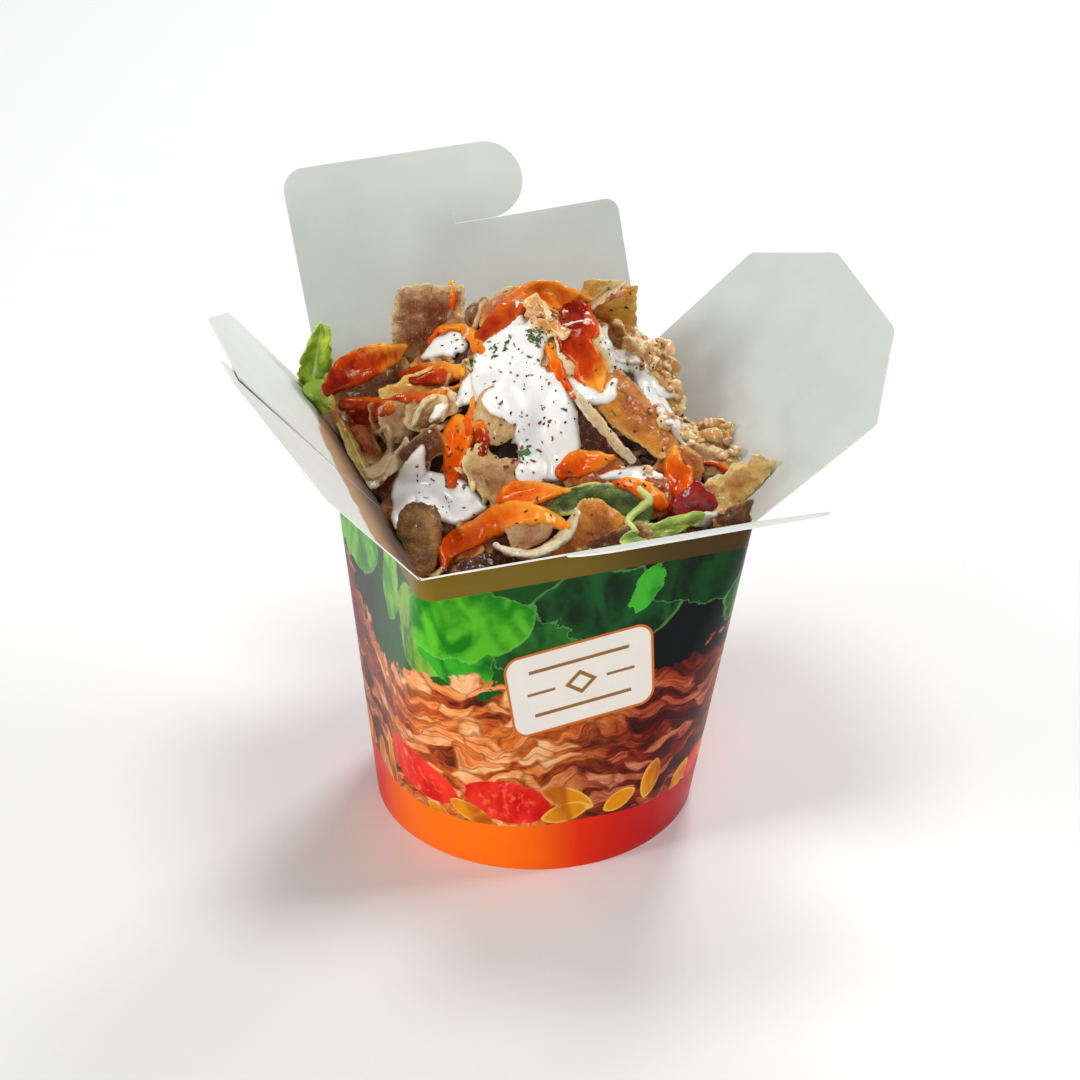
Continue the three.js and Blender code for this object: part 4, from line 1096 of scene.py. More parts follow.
# As the slices, without the raggedness
LETTUCE = {
    "lettuce_left": ((-49.5, 40, 17.5), (0.15, 0, 1), (-0.35, -0.9, 0.2), (24, 10, 1.2), (24, -50), 24, 1.5,
                     -0.36, "bright"),
    "lettuce_tail": ((-50, 32, 11), (0.7, -0.5, 0.3), (-0.3, -0.6, 0.75), (17, 11, 1.2), (60, 30), 0, 1.2,
                     0, "bright"),
    "lettuce_stem": ((-46.8, 15, 4.6), (0.04, -0.97, -0.22), (0.45, -0.3, 0.8), (34, 5, 2.0), (-14, 40), 10,
                     0.3, 0, "stem"),
    "lettuce_front": ((7.6, -33, 6), (0.97, -0.15, -0.12), (0, -0.55, 0.82), (30, 12, 1.2), (30, 24), 14,
                      1.4, 0.3, "deep"),
    "lettuce_rim": ((21, -41, -0.8), (0.95, 0.1, 0.1), (0, -0.8, 0.55), (25, 5, 1.2), (-56, 30), 0, 0.9, 0,
                    "rib"),
}


def make_core():
    """The bulk of the filling, lower than its outline, under the loose scraps, coloured near black as painted
    shade in the gaps between them.
    """
    deselect()
    bpy.ops.mesh.primitive_cube_add(size=2)
    core = named(bpy.context.object, "filling_core")
    in_edit_mode(core, lambda: bpy.ops.mesh.subdivide(number_cuts=54))
    a, b, c = (points_of(core) * MM).T
    reach = np.maximum(np.abs(a), np.abs(b))
    x, y = CORE_HALF * a, CORE_HALF * b
    dome = heap_height(x, y) - HEAP["sink"]
    slope = np.hypot(x - HEAP["x"], y - HEAP["y"]) * dome / HEAP["spread"] ** 2
    top = HEAP["sink"] + dome - CORE_DEPTH * np.hypot(1, slope)
    top = top + 1.6 * lumps(np.column_stack([x, y, 0 * x]), 6.0) + 0.9 * lumps(np.column_stack([x, y,
                                                                                                0 * x]),
                                                                                                2.6, 5)
    inner = np.minimum(1, (1 - reach) * 3.5)
    top = np.minimum(top, 0) * (1 - inner) + top * inner
    floor = CORE_FLOOR - CREASE
    z = floor + (c + 1) / 2 * (top - floor)
    set_points(core, keep_in_room(np.column_stack([x, y, z]), 0.3) + TO_FOLDS)
    finish_piece(core, "packed_box", "filling", [CORE_FINISH], "filling")
    return core


def tree_of(pieces):
    """A search tree over the faces of pieces, in millimetres."""
    points, faces, count = [], [], 0
    for piece in pieces:
        own = points_of(piece)
        points += own.tolist()
        faces += [[v + count for v in polygon.vertices] for polygon in piece.data.polygons]
        count += len(own)
    return BVHTree.FromPolygons(points, faces)


def take_shape(piece):
    """The points, faces and chart of a piece, which is then removed."""
    mesh = piece.data
    chart = np.zeros(len(mesh.loops) * 2)
    if mesh.uv_layers:
        mesh.uv_layers.active.data.foreach_get("uv", chart)
    shape = points_of(piece), [list(polygon.vertices) for polygon in mesh.polygons], chart
    bpy.data.objects.remove(piece)
    bpy.data.meshes.remove(mesh)
    return shape


def scrap_shapes(count, length, width, thickness, curl, grid=(8, 5), seed=0.0, torn=0.14):
    """A few torn, curled scraps, modelled once and copied many times."""
    shapes = []
    for k in range(count):
        scrap = new_grid("scrap", *grid)
        s, t = grid_places(scrap)
        size = length * (0.75 + 0.5 * ((k * 0.37) % 1)), width * (0.75 + 0.5 * ((k * 0.71) % 1)), thickness
        piece = ((k * 1.7, k * 0.9, 0), (1, 0, 0), (0, 0, 1), size,
                 (curl * (0.9 - 0.6 * (k % 3)), curl * (0.4 + 0.3 * (k % 2))),
                 24 * (k % 3) - 24, 0.08 * width, 0.4 * (k % 2))
        s, t, _ = uneven(s, t, size[0], size[1], torn * width, seed + 2.3 * k)
        points = sheet_points(s, t, piece)
        points[:, 2] += 0.12 * width * lumps(points, 0.5 * width, seed + k)
        set_points(scrap, points - points.mean(0))
        apply_modifier(scrap, "SOLIDIFY", thickness=thickness * MM, offset=0)
        apply_modifier(scrap, "SUBSURF", levels=1, render_levels=1)
        roughen(scrap, k, (1.8, 0.2 * thickness))
        shapes.append(take_shape(scrap))
    return shapes


def flake_shapes(count, size, thickness, seed=0.0, slender=0.14, narrowed=0.6):
    """A few flat flakes with uneven rims and narrowed ends."""
    shapes = []
    for k in range(count):
        flake = new_grid("flake", 4, 1)
        x, y, _ = (points_of(flake) * MM).T
        wide = size * (slender + 0.08 * (k % 3)) * (1 - narrowed * np.abs(x) ** 1.6)
        points = np.column_stack([x * size / 2, y * wide + 0.14 * size * (k % 2) * x * x, 0.1 * size * x * x])
        points = points + 0.16 * size * np.column_stack([lumps(points, 0.5, seed + k),
                                                         lumps(points, 0.5, seed + k + 5),
                                                         lumps(points, 0.6, seed + k + 9)])
        set_points(flake, points - points.mean(0))
        apply_modifier(flake, "SOLIDIFY", thickness=thickness * MM, offset=0)
        shapes.append(take_shape(flake))
    return shapes


def lump_shapes(count, size, squash, seed, depth=0.4):
    """A few uneven lumps."""
    shapes = []
    for k in range(count):
        deselect()
        bpy.ops.mesh.primitive_ico_sphere_add(subdivisions=2, radius=size / 2 * MM)
        lump = bpy.context.object
        roughen(lump, seed + k, (size * 0.6, size * depth), (size * 0.25, size * 0.15))
        set_points(lump, points_of(lump) * np.array([1.15, 0.8, squash]))
        shapes.append(take_shape(lump))
    return shapes


def scatter(name, shapes, spots, slot, finish, flat_faces=False):
    """Copies of shapes at spots, each a place, an upward direction and a scale, as one piece."""
    points, faces, charts, shades, count = [], [], [], [], 0
    for place, upward, scale in spots:
        own, own_faces, chart = shapes[dice.randrange(len(shapes))]
        turn = np.array(Vector(upward).to_track_quat("Z", "Y").to_matrix())
        spin = dice.uniform(0, math.tau)
        spun = np.array([[math.cos(spin), -math.sin(spin), 0], [math.sin(spin), math.cos(spin), 0],
                         [0, 0, 1]])
        points.append(own * scale @ (turn @ spun).T + np.array(place))
        faces += [[v + count for v in face] for face in own_faces]
        charts.append(chart)
        shades.append(np.full(len(own), dice.random()))
        count += len(own)
    mesh = bpy.data.meshes.new(name)
    moved = keep_in_room(np.vstack(points) - TO_FOLDS, swept=True) + TO_FOLDS
    mesh.from_pydata((moved * MM).tolist(), [], faces)
    mesh.uv_layers.new(name="chart").data.foreach_set("uv", np.concatenate(charts))
    store(mesh, "shade", np.concatenate(shades))
    piece = new_object(name, mesh)
    finish_piece(piece, "packed_box", slot, [finish])
    if flat_faces:
        mesh.shade_flat()
    return piece


def tilted(normal, degrees):
    """A direction turned away from a normal by up to an angle."""
    aside = Vector((dice.gauss(0, 1), dice.gauss(0, 1), dice.gauss(0, 1))).cross(normal)
    aside.normalize()
    return (normal + aside * math.tan(math.radians(dice.uniform(0, degrees)))).normalized()


def spread_over(tree, count, spacing, room, tilt, lift, scales, tries=40000):
    """Spots on the food seen from above, no closer than a spacing, in a room of x and y limits."""
    spots, taken = [], []
    for _ in range(tries):
        if len(spots) >= count:
            break
        x, y = dice.uniform(room[0], room[1]), dice.uniform(room[2], room[3])
        hit, normal, _, _ = tree.ray_cast(Vector((x, y, ABOVE_FOOD)), Vector((0, 0, -1)))
        if hit is None or hit.z < LOWEST_SCRAP:
            continue
        if any((hit - other).length < spacing for other in taken):
            continue
        taken.append(hit)
        if normal.z < 0:
            normal = -normal
        spots.append((hit + normal * lift, tilted(normal, tilt), dice.uniform(*scales)))
    return spots


# ---- poured sauces ----

# Sauces are drawn on the slope that rises from the front left: millimetres across it and up it
POUR_UP = Vector((-0.26, -0.80, 0.54)).normalized()
POUR_ACROSS = Vector((0, 0, 1)).cross(POUR_UP).normalized()
POUR_ALONG = POUR_UP.cross(POUR_ACROSS)
RAY_START = 120  # above any food
SAUCE_UNDERSIDE = 0.7
POUR_FRAME = np.array([POUR_ACROSS, POUR_ALONG, POUR_UP])


def smooth_line(stations, spacing=0.5):
    """A smooth open curve through stations, evenly walked."""
    line = np.array(stations, float)
    line = np.vstack([2 * line[0] - line[1], line, 2 * line[-1] - line[-2]])
    curve = []
    for p0, p1, p2, p3 in zip(line, line[1:], line[2:], line[3:]):
        steps = max(2, round(float(np.linalg.norm((p2 - p1)[:2])) / spacing))
        for k in range(steps):
            u = k / steps
            curve.append(0.5 * (2 * p1 + (p2 - p0) * u + (2 * p0 - 5 * p1 + 4 * p2 - p3) * u ** 2
                                + (3 * p1 - p0 - 3 * p2 + p3) * u ** 3))
    return np.array(curve + [line[-2]])


def trail(stations):
    """The outline of a trail through stations, each a place and half a width, with round ends."""
    walk = smooth_line(stations)
    places, half = walk[:, :2], np.maximum(walk[:, 2:], 0.3)
    way = np.gradient(places, axis=0)
    way /= np.linalg.norm(way, axis=1)[:, None]
    aside = np.column_stack([-way[:, 1], way[:, 0]])

    def round_end(k, onward):
        turn = np.linspace(0, math.pi, 3 + round(half[k, 0] * 6))[1:-1, None]
        return places[k] + half[k] * onward * (np.cos(turn) * aside[k] + np.sin(turn) * way[k])

    return np.vstack([places + half * aside, round_end(-1, 1), (places - half * aside)[::-1],
                      round_end(0, -1)])


def inside(points, ring):
    x, y = points.T
    odd = np.zeros(len(points), bool)
    for (x1, y1), (x2, y2) in zip(ring, np.roll(ring, -1, 0)):
        crosses = (y1 > y) != (y2 > y)
        at = x1 + (y - y1) * (x2 - x1) / (y2 - y1 if y2 != y1 else 1e-9)
        odd ^= crosses & (x < at)
    return odd


def away_from(points, ring):
    """Distance of each point from a closed line."""
    best = np.full(len(points), 1e9)
    for a, b in zip(ring, np.roll(ring, -1, 0)):
        way = b - a
        share = np.clip(((points - a) @ way) / max(way @ way, 1e-9), 0, 1)
        best = np.minimum(best, np.linalg.norm(points - a - share[:, None] * way, axis=1))
    return best


def pour(name, stations, thickness, finish, slot, tree, node=None, rounding=2.0, wobble=0.5, sag=14, even=6,
         deepens=(-0.4, -0.9)):
    """Thick sauce along a trail, lying over the food below it and filling its gaps."""
    rim = trail(stations)
    spot = np.column_stack([rim, 0 * rim[:, 0]])
    rim = rim + wobble * np.column_stack([lumps(spot, 2.6, 3), lumps(spot, 2.6, 8)])
    low, high = rim.min(0), rim.max(0)
    step = 0.6
    grid = np.stack(np.meshgrid(np.arange(low[0], high[0], step), np.arange(low[1], high[1], step)),
                    -1).reshape(-1, 2)
    grid[:, 0] += step / 2 * (np.round((grid[:, 1] - low[1]) / step) % 2)
    grid = grid[inside(grid, rim)]
    grid = grid[away_from(grid, rim) > 0.4]
    places = [Vector(p) for p in np.vstack([rim, grid])]
    made = geometry.delaunay_2d_cdt(places, [], [list(range(len(rim)))], 1, 1e-5)
    flat = np.array(made[0])
    triangles = [list(face) for face in made[2]]
    edges = np.array(made[1])
    distance = away_from(flat, rim)

    # Level of the food under each point, along the pour's own upward direction
    level = np.full(len(flat), np.nan)
    for k, (p, q) in enumerate(flat):
        start = Vector(POUR_ACROSS) * p + Vector(POUR_ALONG) * q + Vector(POUR_UP) * RAY_START + FOLD_MIDDLE
        hit = tree.ray_cast(start, -POUR_UP)[0]
        if hit is not None and hit.z > LOWEST_SAUCE:
            level[k] = (hit - FOLD_MIDDLE).dot(POUR_UP)
    known = ~np.isnan(level)
    middle_level = np.median(level[known])
    level = np.where(known, level, middle_level)
    level = np.clip(level, np.percentile(level, 4), np.percentile(level, 99.5))
    count = np.zeros(len(flat))
    np.add.at(count, edges.ravel(), 1)

    def evened(values):
        total = np.zeros(len(flat))
        np.add.at(total, edges[:, 0], values[edges[:, 1]])
        np.add.at(total, edges[:, 1], values[edges[:, 0]])
        return total / np.maximum(count, 1)

    filled = level.copy()
    for _ in range(sag):
        filled = np.maximum(filled, evened(filled))
    for _ in range(even):
        filled = 0.4 * filled + 0.6 * evened(filled)
    share = np.clip(distance / rounding, 0, 1)
    wave = 1 + 0.25 * lumps(np.column_stack([flat, 0 * flat[:, 0]]), 7.5, 2)
    rise = thickness * wave * np.sqrt(1 - (1 - share) ** 2)
    top = np.column_stack([flat, filled + rise])
    bottom = np.column_stack([flat, filled - SAUCE_UNDERSIDE])
    points = np.vstack([top, bottom]) @ POUR_FRAME
    shift = len(flat)
    faces = triangles + [[v + shift for v in reversed(face)] for face in triangles]
    sides = {}
    for face in triangles:
        for a, b in zip(face, face[1:] + face[:1]):
            sides[(a, b)] = sides.get((a, b), 0) + 1
    faces += [[b, a, a + shift, b + shift] for (a, b) in sides if (b, a) not in sides]
    mesh = bpy.data.meshes.new(name)
    points = keep_in_room(points) + TO_FOLDS
    mesh.from_pydata((points * MM).tolist(), [], faces)
    piece = new_object(name, mesh)
    down = flat @ np.array(deepens)
    deep = 0.2 * np.clip(distance / 3, 0, 1) + 0.85 * (down - down.min()) / np.ptp(down)
    store(mesh, "depth", np.tile(deep, 2))
    store(mesh, "edge", np.tile(np.clip(distance / 2.5, 0, 1), 2))
    return finish_piece(piece, "packed_box", slot, [finish], *([node] if node else []))


# A trail is drawn on the slope: each station is a place across it and up it, and half a width

# Ribbons of meat and leaf that lie on the slices: thickness, look, trail
RIBBONS = {
    "ribbon_hook": (2.0, "pink", [(-50, -4.3, 1), (-46, -4.2, 2), (-41.5, -2.7, 2), (-39, 1.5, 1.4),
                                  (-38.6, 6, 1),
                                  (-39.6, 8.6, 0.9), (-41.6, 7.9, 0.6)]),
    "ribbon_loop": (1.6, "tan", [(-32.4, 9, 0.8), (-31, 13, 1), (-28, 16.5, 1.1), (-25, 16.8, 1),
                                 (-24, 14.5, 1),
                                 (-25, 11, 0.6)]),
    "ribbon_strip": (1.1, "glazed", [(-54.7, 16.5, 0.8), (-53, 10, 1.6), (-51, 4, 1.6), (-48, -1, 0.6)]),
}
FRILL = [(-61, 19, 2.4), (-58.5, 19, 3.4), (-55.5, 16.5, 1.9), (-54, 15.5, 0.6)]

# name: thickness, sag, trail
GARLIC_POURS = {
    "garlic_main": (1.7, 14, [(1, 40, 2), (0, 35, 4), (-5, 29, 8.5), (-6, 23, 11.5), (-1, 17, 10),
                              (2.5, 12, 8.6),
                              (3, 6, 9), (2, 1, 9), (-1, -3, 4.5)]),
    "garlic_arm": (1.5, 14, [(-12, 22, 5), (-17, 18.5, 3.8), (-20.5, 15.5, 1.2)]),
    "garlic_crest": (1.5, 14, [(-5, 42, 0.7), (-5, 37, 2), (-4, 33, 4)]),
    "garlic_left": (1.5, 14, [(-30, 3.5, 0.7), (-32, -2, 3.2), (-34, -8, 4.2), (-36.3, -14, 1.6),
                              (-36.3, -18, 0.7)]),
    "garlic_left_low": (1.5, 14, [(-33, -6, 4), (-27, -8, 5), (-21, -11, 6.3), (-16, -12, 3.6),
                                  (-13.5, -12.5, 1)]),
    "garlic_dollop": (1.4, 10, [(-30, 28, 1), (-26, 30.5, 2.8), (-22, 31.5, 3.5), (-20, 31, 2)]),
    "garlic_right": (0.8, 4, [(18.5, 36, 0.8), (18.5, 31, 1.6), (21.5, 27, 2), (27, 25.5, 2.5), (30, 21, 2.8),
                              (33, 16.5, 2), (37, 11.5, 0.8)]),
    "garlic_tongue": (1.0, 4, [(9, 20.5, 2), (14, 18, 3), (19, 17.5, 2.2), (21, 21.5, 0.9)]),
    "garlic_middle": (0.9, 4, [(17, -4.5, 0.6), (22, -3.8, 1.7), (28, -3.5, 2.2), (33, -4, 1)]),
    "garlic_corner": (0.9, 4, [(42.5, -16.5, 1), (45, -15.5, 1.9), (48, -14, 0.8)]),
    "garlic_loop": (0.6, 3, [(-27.5, 10.5, 0.8), (-26, 13, 1.4), (-24, 14.5, 1)]),
    "garlic_thread": (0.6, 3, [(-29, 7, 0.6), (-25, 9, 0.9), (-22, 11, 0.8), (-20, 13.5, 0.5)]),
}
# Thin sauce over the torn shreds
GARLIC_FILMS = {
    "garlic_film_top": [(21, 28.5, 1.6), (24, 28.5, 2), (27.5, 27.5, 1)],
    "garlic_film_side": [(27, 24.5, 1.2), (30, 21, 2), (34, 18.5, 1.4), (38, 18, 0.5)],
    "garlic_film_fall": [(30.5, 19, 2), (32.5, 15.5, 1.6), (34.5, 12, 0.7)],
    "garlic_film_low": [(35, 10.5, 0.9), (38, 10, 1.4), (41, 10, 0.7)],
    "garlic_film_tip": [(37, 9, 1), (38, 6.5, 1), (40, 4.5, 0.5)],
}
# name: thickness, sag, look, trail
CHILLI_POURS = {
    "chilli_dome": (0.7, 14, "deep", [(-55.5, 19.5, 2.2), (-51, 23.5, 4.4), (-45, 26.5, 4.6), (-39, 29, 3.2),
                                      (-35.5, 31, 0.9)]),
    "chilli_inner": (0.9, 8, "deep", [(-37, 23, 0.8), (-32, 23, 2.8), (-26, 23.5, 3.3), (-20.5, 24, 2)]),
    "chilli_rim": (0.7, 6, "bright", [(-28.5, 32, 0.9), (-26, 35.5, 1), (-21, 36, 1.1), (-17, 33.5, 1.8),
                                      (-15, 30, 2)]),
    "chilli_yellow": (0.5, 4, "amber", [(-40.5, 16, 0.6), (-34, 16.5, 1.4), (-27, 17.5, 1.2),
                                        (-20, 20, 0.6)]),
    "chilli_low": (0.6, 4, "dark", [(-51, 15, 2), (-46, 13.5, 4), (-40, 14, 2.4)]),
    "chilli_top": (0.8, 6, "amber", [(-14.5, 33.5, 2), (-9.5, 37.5, 3.4), (-5, 42.5, 3.4), (1, 44.5, 4.2),
                                     (7, 44, 3.7),
                                     (14.5, 43.5, 0.7)]),
    "chilli_tongue": (0.8, 8, "deep", [(10.5, 39, 4.5), (11, 35.5, 6), (11, 31, 4.6), (14, 27, 3.7),
                                       (15, 23, 4.8),
                                       (17, 19, 1.2)]),
    "chilli_streak": (0.8, 4, "bright", [(4, 30.5, 1.6), (5, 26, 1.8), (7.5, 21, 1.4), (10.5, 16.5, 0.6)]),
    "chilli_strip": (1.1, 8, "bright", [(-20.5, 9, 3.4), (-20.5, 6, 4.6), (-21.5, 2, 3.2), (-22, -2, 2.8),
                                        (-22, -6, 1.6)]),
    "chilli_spike": (1.0, 8, "bright", [(-19, 8, 3), (-17, 12, 1.5), (-16.5, 16.5, 0.6)]),
    "chilli_oval": (0.5, 3, "dark", [(-14.5, 9.5, 1.4), (-14, 6, 1.9), (-14, 2, 1.4)]),
    "chilli_front": (1.1, 10, "bright", [(-24, -28.5, 0.8), (-22, -23, 3.4), (-14, -18.5, 3.6),
                                         (-7, -14.5, 3.8),
                                         (1, -14.5, 2.6), (8.5, -17.5, 1.3)]),
    "chilli_ledge": (1.1, 10, "bright", [(-8, -13, 3), (-5, -9.5, 4.2), (1, -8.5, 3.1), (9, -8, 0.6)]),
    "chilli_middle": (1.0, 8, "bright", [(7.5, -3, 2.4), (11, -1, 3.8), (16, 0, 2.8), (20.5, 1, 0.9)]),
    "chilli_right": (1.0, 6, "bright", [(21, -6, 0.8), (26, -6.5, 2.2), (30.5, -9, 2.6), (33.5, -11.5, 2)]),
    "chilli_peak": (0.8, 4, "bright", [(37, 4, 0.6), (37, 0, 2.6), (38, -4, 4.2), (38, -6.5, 3)]),
    "chilli_far": (0.7, 3, "dark", [(43.5, -0.5, 0.5), (47, -0.5, 1.1), (50.5, -2, 1.1), (52, -4, 0.4)]),
    "chilli_standing": (0.35, 2, "bright", [(-22.7, 47.5, 0.9), (-22.4, 44, 1.1), (-22.3, 41, 0.6)]),
    "chilli_shard": (0.35, 2, "amber", [(18, 43, 0.6), (22, 45.5, 0.9), (26.5, 47.5, 0.4)]),
}


# ---- make the pieces ----

PRINT = print_finish()
GOLD = plain_print_finish()
BOARD_PLAIN = board_finish("board_plain", colour(212, 214, 208), 0.55)
# The flaps' inside is darkened low near the fold: part food stain, part painted shade
BOARD_INSIDE = board_finish("board_inside", colour(214, 220, 214), 0.5, low_stain_and_shade=0.24)
# The left flap's strip along its fold is part grease stain, part painted shade
BOARD_LEFT = board_finish("board_left", colour(222, 226, 220), 0.5, fold_strip_stain_and_shade=0.95)
# The inside of the wall is white board coloured brown: part stain, part painted shade
INSIDE_WALL_STAIN_AND_SHADE = board_finish("inside_wall_stain_and_shade", colour(176, 150, 120), 0.5)
BOARD_EDGE = board_finish("board_edge", colour(236, 234, 228), 0.6)
# The core's near-black colour is painted shade for the gaps between the pieces
CORE_FINISH = scrap_finish("filling_painted_shade", (96, 58, 42), (34, 16, 18), 0.3)

make_wall()
make_base()
for flap_side in ("back", "front"):
    make_flap("flap_%s_board" % flap_side, flap_side, main_flap_outline(), 0,
              [BOARD_INSIDE, GOLD, BOARD_EDGE],
              "flap_" + flap_side)
make_flap("flap_right_board", "right", side_flap_outline(-50, 50), 0, [BOARD_INSIDE, GOLD, BOARD_EDGE],
          "flap_right")
make_flap("flap_left_board", "left", side_flap_outline(-11, 50), 0, [BOARD_LEFT, GOLD, BOARD_EDGE],
          "flap_left")
make_flap("flap_left_underlap", "left", side_flap_outline(-50, -5, 4.0), -BOARD - 0.02,
          [BOARD_LEFT, GOLD, BOARD_EDGE])

core = make_core()
slices = []
for name, piece in SLICES.items():
    *shape, look, ragged = piece
    rounding, lobed = CUT.get(name, (0.36, 1.0))
    relief = ((2.2, 0.75), (0.85, 0.36)) if look == "crumbly" else ((2.2, 0.34), (0.85, 0.2))
    slices.append(make_sheet(name + "_slice", tuple(shape), "meat", MEATS[look], ragged, layers=relief,
                             node=name,
                             rounding=rounding, lobed=lobed))
for name, piece in TOPPINGS.items():
    *shape, look, ragged = piece
    slices.append(make_sheet(name, tuple(shape), "meat", MEATS[look], ragged))
tomato_shape = ((32, -35, 1), (0.75, 0, 0.6), (0.05, -0.8, 0.6), (13, 10, 4), (20, 50), 0, 0.3, 0)
slices.append(make_sheet("tomato_piece", tomato_shape, "tomato", tomato_finish(), 0.4, 0.7, crumple=0.3,
                         thin=1.0,
                         node="tomato"))
leaves = []
for name, piece in LETTUCE.items():
    *shape, look = piece
    frill = {"bright": 2.6, "deep": 1.6, "rib": 0.8, "stem": 0.2}[look]
    leaves.append(make_sheet(name + "_leaf", tuple(shape), "lettuce", LEAVES[look],
                             1.2 if look == "bright" else 0.5, 0.4, ((2.2, 0.2),), 0.5,
                             frill, 0.8, 0.8, node=name))

# Loose scraps lie on the core and fill the gaps between the slices
MOUTH_ROOM = (-50, 62, -46, 50)
core_tree = tree_of([core])
slice_scraps = scrap_shapes(9, 11.0, 6.5, 1.3, 90, torn=0.22)
bed = spread_over(core_tree, 190, 4.6, MOUTH_ROOM, 42, 1.4, (0.8, 1.3))
bed += spread_over(core_tree, 70, 3.6, (-50, 56, 24, 50), 35, 2.6, (1.0, 1.5))
kinds = {"tan": [], "brown": [], "glazed": []}
for spot in bed:
    kinds[dice.choice(["tan", "tan", "brown", "brown", "glazed"])].append(spot)
scraps = [scatter("scraps_" + look, slice_scraps, spots, "meat", SCRAPS[look]) for look,
          spots in kinds.items()]

food = tree_of([core, *scraps, *slices, *leaves])
for name, (thickness, look, stations) in RIBBONS.items():
    slices.append(pour(name, stations, thickness, MEATS[look], "meat", food, rounding=0.9, wobble=0.5,
                       sag=6, even=10))
leaves.append(pour("lettuce_frill", FRILL, 1.0, LEAVES["frill"], "lettuce", food, rounding=0.8, wobble=0.9,
                   sag=4, even=6))
food = tree_of([core, *scraps, *slices, *leaves])
GARLIC_NODES = {"garlic_main", "garlic_left", "garlic_dollop", "garlic_right"}
CHILLI_NODES = {"chilli_top", "chilli_tongue", "chilli_dome", "chilli_inner", "chilli_strip",
                "chilli_front", "chilli_middle",
                "chilli_right", "chilli_peak"}
garlic, chilli = [], []
for name, (thickness, sag, stations) in GARLIC_POURS.items():
    garlic.append(pour(name + "_pour", stations, thickness, GARLIC, "garlic_sauce", food,
                       name if name in GARLIC_NODES else None, sag=sag + 6, even=18))
food = tree_of([core, *scraps, *slices, *leaves, *garlic])
for name, (thickness, sag, look, stations) in CHILLI_POURS.items():
    chilli.append(pour(name + "_pour", stations, thickness, CHILLI[look], "chilli_sauce", food,
                       name if name in CHILLI_NODES else None, rounding=1.3, sag=sag, even=8,
                       deepens=(-0.9, 0.5) if name == "chilli_tongue" else (-0.4, -0.9)))

# A pale leaf edge that hangs down to the rim
LEAF_EDGE = [(27.5, -7.5, 0.8), (30, -10, 1.2), (28.5, -12, 1.1), (26, -14, 1.1), (24.5, -16, 1),
             (26.5, -18.5, 0.8)]
# Crumbs of meat in clusters: across and up the slope, radius and count
SHREDS = [(0, 38, 3, 6), (4, 36, 3, 6), (26, 33, 4, 10), (30, 31, 4, 12), (34, 29, 4, 12), (38, 25, 4, 12),
          (39, 20, 3, 8),
          (36, 11, 3, 6), (39, 8, 4, 6), (47, 10, 4, 8), (52, 4, 4, 6)]
CRUMBS = SHREDS + [(32, 13, 3, 6), (27, 27, 3, 8), (29, -2, 3, 10), (-19, -2, 2, 3), (-15, -6, 2, 3),
                   (50, -13, 2, 2)]


def on_slope(tree, across, up):
    """Where food lies at a place on the slope, and which way it faces."""
    start = POUR_ACROSS * across + POUR_ALONG * up + POUR_UP * RAY_START + FOLD_MIDDLE
    hit, normal, _, _ = tree.ray_cast(start, -POUR_UP)
    if hit is None or hit.z < LOWEST_CRUMB:
        return None
    return hit, normal if normal.dot(POUR_UP) > 0 else -normal


def clustered(tree, clusters, scales, lift, tilt):
    spots = []
    for across, up, radius, count in clusters:
        for _ in range(count):
            turn, away = dice.uniform(0, math.tau), radius * math.sqrt(dice.random())
            found = on_slope(tree, across + away * math.cos(turn), up + away * math.sin(turn))
            if found:
                spots.append((found[0] + found[1] * lift, tilted(found[1], tilt), dice.uniform(*scales)))
    return spots


top = tree_of([core, *scraps, *slices, *leaves, *garlic, *chilli])
shred_spots = clustered(top, SHREDS, (0.6, 1.5), 0.35, 60)
crumb_spots = clustered(top, CRUMBS, (0.6, 1.5), 0.35, 60)
bits = scatter("torn_bits", scrap_shapes(11, 6.5, 4.2, 1.9, 60, (7, 4), 4.4, 0.34), shred_spots[::2],
               "meat", SCRAPS["pale"])
shreds = scatter("torn_lumps", lump_shapes(9, 2.9, 0.7, 6.3, 0.55), shred_spots[1::2], "meat",
                 scrap_finish("torn_lumps", (250, 218, 164), (192, 118, 54), 0.9))
top = tree_of([core, *scraps, *slices, *leaves, *garlic, *chilli, bits, shreds])
for name, stations in GARLIC_FILMS.items():
    garlic.append(pour(name, stations, 0.45, GARLIC, "garlic_sauce", top, rounding=0.8, wobble=0.8, sag=1,
                       even=2))
leaf_edge = pour("leaf_edge", LEAF_EDGE, 1.1, LEAVES["rib"], "lettuce", top, rounding=0.9, wobble=0.3,
                 sag=8, even=8)
crumbs = scatter("crumbs_pale", lump_shapes(7, 1.9, 0.7, 3.1, 0.6), crumb_spots[::2], "meat",
                 scrap_finish("crumbs_pale", (250, 214, 156), (196, 122, 52), 0.8))
top = tree_of([core, *scraps, *slices, *leaves, *garlic, *chilli, leaf_edge, bits, shreds, crumbs])

# Dried herbs, chilli flakes and pepper, most on the white sauce: across and up the slope, radius and count
HERB_CLUSTERS = [(-1, 20, 13, 20), (0, 33, 2.6, 30), (-10, 29, 3, 12), (-16, 26, 4, 8), (-3, 2, 3, 6),
                 (-26, -8, 8, 8), (22, 45, 4, 9),
             (-14, 30, 4, 6), (-45, 25, 9, 3), (24, 24, 9, 10), (0, 10, 30, 20), (32, -4, 10, 6),
             (-5, -14, 14, 8)]
FLAKE_CLUSTERS = [(0, 16, 12, 16), (-4, 4, 6, 10), (-24, -4, 8, 4), (4, 36, 5, 5), (0, 10, 32, 14),
                  (-20, 3, 4, 6), (33, -2, 9, 6)]
PEPPER_CLUSTERS = [(0, 18, 14, 30), (-26, -6, 9, 16), (-23, 31, 5, 8), (1, 34, 4, 18), (0, 10, 34, 40),
                   (-9, 3, 3, 16), (28, 28, 8, 16)]
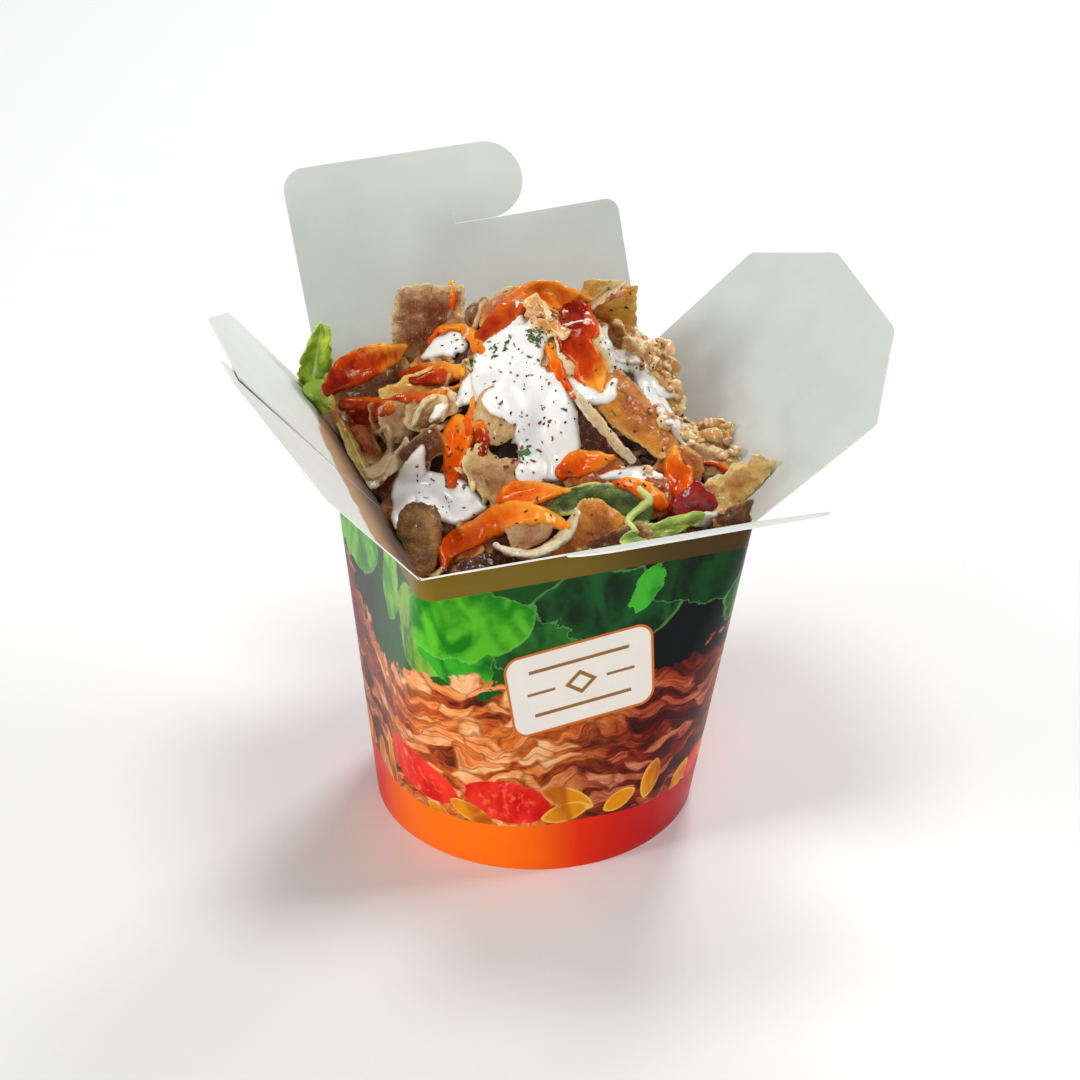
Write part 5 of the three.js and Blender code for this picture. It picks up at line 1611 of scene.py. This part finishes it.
scatter("herb_flakes", flake_shapes(8, 1.9, 0.18, 1.0), clustered(top, HERB_CLUSTERS, (0.3, 1.0), 0.12, 35),
        "lettuce",
        scrap_finish("herb_flakes", (110, 122, 64), (38, 46, 24), 0.1), flat_faces=True)
scatter("herb_square", flake_shapes(1, 3.4, 0.25, 4.0, 0.4, 0.1),
        clustered(top, [(-3, 2, 0.3, 1)], (1.0, 1.0), 0.2, 8), "lettuce",
        scrap_finish("herb_square", (84, 138, 70), (50, 100, 48), 0.2), flat_faces=True)
scatter("chilli_flakes", flake_shapes(6, 1.7, 0.3, 7.0, 0.24, 0.7),
        clustered(top, FLAKE_CLUSTERS, (0.3, 1.0), 0.15, 35), "chilli_sauce",
        scrap_finish("chilli_flakes", (158, 56, 44), (96, 28, 24), 0.3), flat_faces=True)
scatter("pepper_specks", lump_shapes(3, 0.6, 0.7, 5.5), clustered(top, PEPPER_CLUSTERS, (0.5, 1.2), 0.1,
                                                                  30), "meat",
        scrap_finish("pepper_specks", (74, 52, 36), (24, 16, 12), 0.1))

# ---- floor, light and camera ----

deselect()
bpy.ops.mesh.primitive_plane_add(size=6)
floor = named(bpy.context.object, "studio_floor")
floor_finish, _, floor_shader = new_finish("studio_floor", 0.7)
floor_shader["Base Color"].default_value = (0.9, 0.9, 0.9, 1)
floor.data.materials.append(floor_finish)

world = bpy.data.worlds.new("studio")
bpy.context.scene.world = world
world.use_nodes = True
world.node_tree.nodes["Background"].inputs["Color"].default_value = (0.95, 0.98, 1.0, 1)
world.node_tree.nodes["Background"].inputs["Strength"].default_value = 0.24


def add_lamp(name, place, target, size, power, tint=(1, 1, 1)):
    lamp = bpy.data.lights.new(name, "AREA")
    lamp.shape = "DISK"
    lamp.size = size
    lamp.energy = power
    lamp.color = tint
    holder = new_object(name, lamp)
    holder.location = place
    holder.rotation_euler = (Vector(target) - Vector(place)).to_track_quat("-Z", "Y").to_euler()


add_lamp("window", (-0.9, -0.1, 0.7), (0, 0, 0.1), 0.34, 3.8, (1, 0.98, 0.95))
add_lamp("right", (0.9, -0.1, 0.7), (0, 0, 0.1), 0.34, 3.6)
add_lamp("back", (0.5, 0.7, 0.8), (0, 0, 0.12), 0.35, 5.6)
add_lamp("top", (0.0, 0.0, 1.1), (0, 0, 0.1), 0.3, 3.0)
add_lamp("low", (-0.5, -0.75, 0.12), (0, 0, 0.04), 0.3, 3.2)
add_lamp("front", (-0.4, -1.0, 0.6), (0, 0, 0.12), 0.3, 0.7)

CAMERA_TARGET = Vector((1.26, -0.41, 78.9)) * MM
CAMERA_BACK = Vector((-0.2584, -0.7990, 0.5430)).normalized()
CAMERA_DISTANCE = 1.2697
CAMERA_ROLL = math.radians(0.24)
camera = bpy.data.cameras.new("camera")
camera.sensor_width = 36
camera.lens = 155.6
camera.clip_start = 0.05
camera_holder = new_object("camera", camera)
camera_holder.location = CAMERA_TARGET + CAMERA_BACK * CAMERA_DISTANCE
right = Vector((0, 0, 1)).cross(CAMERA_BACK).normalized()
upward = CAMERA_BACK.cross(right)
turned_right = right * math.cos(CAMERA_ROLL) + upward * math.sin(CAMERA_ROLL)
turned_up = CAMERA_BACK.cross(turned_right)
camera_holder.rotation_mode = "QUATERNION"
camera_holder.rotation_quaternion = Matrix((turned_right, turned_up,
                                            CAMERA_BACK)).transposed().to_quaternion()
bpy.context.scene.camera = camera_holder
bpy.context.scene.view_settings.view_transform = "Standard"
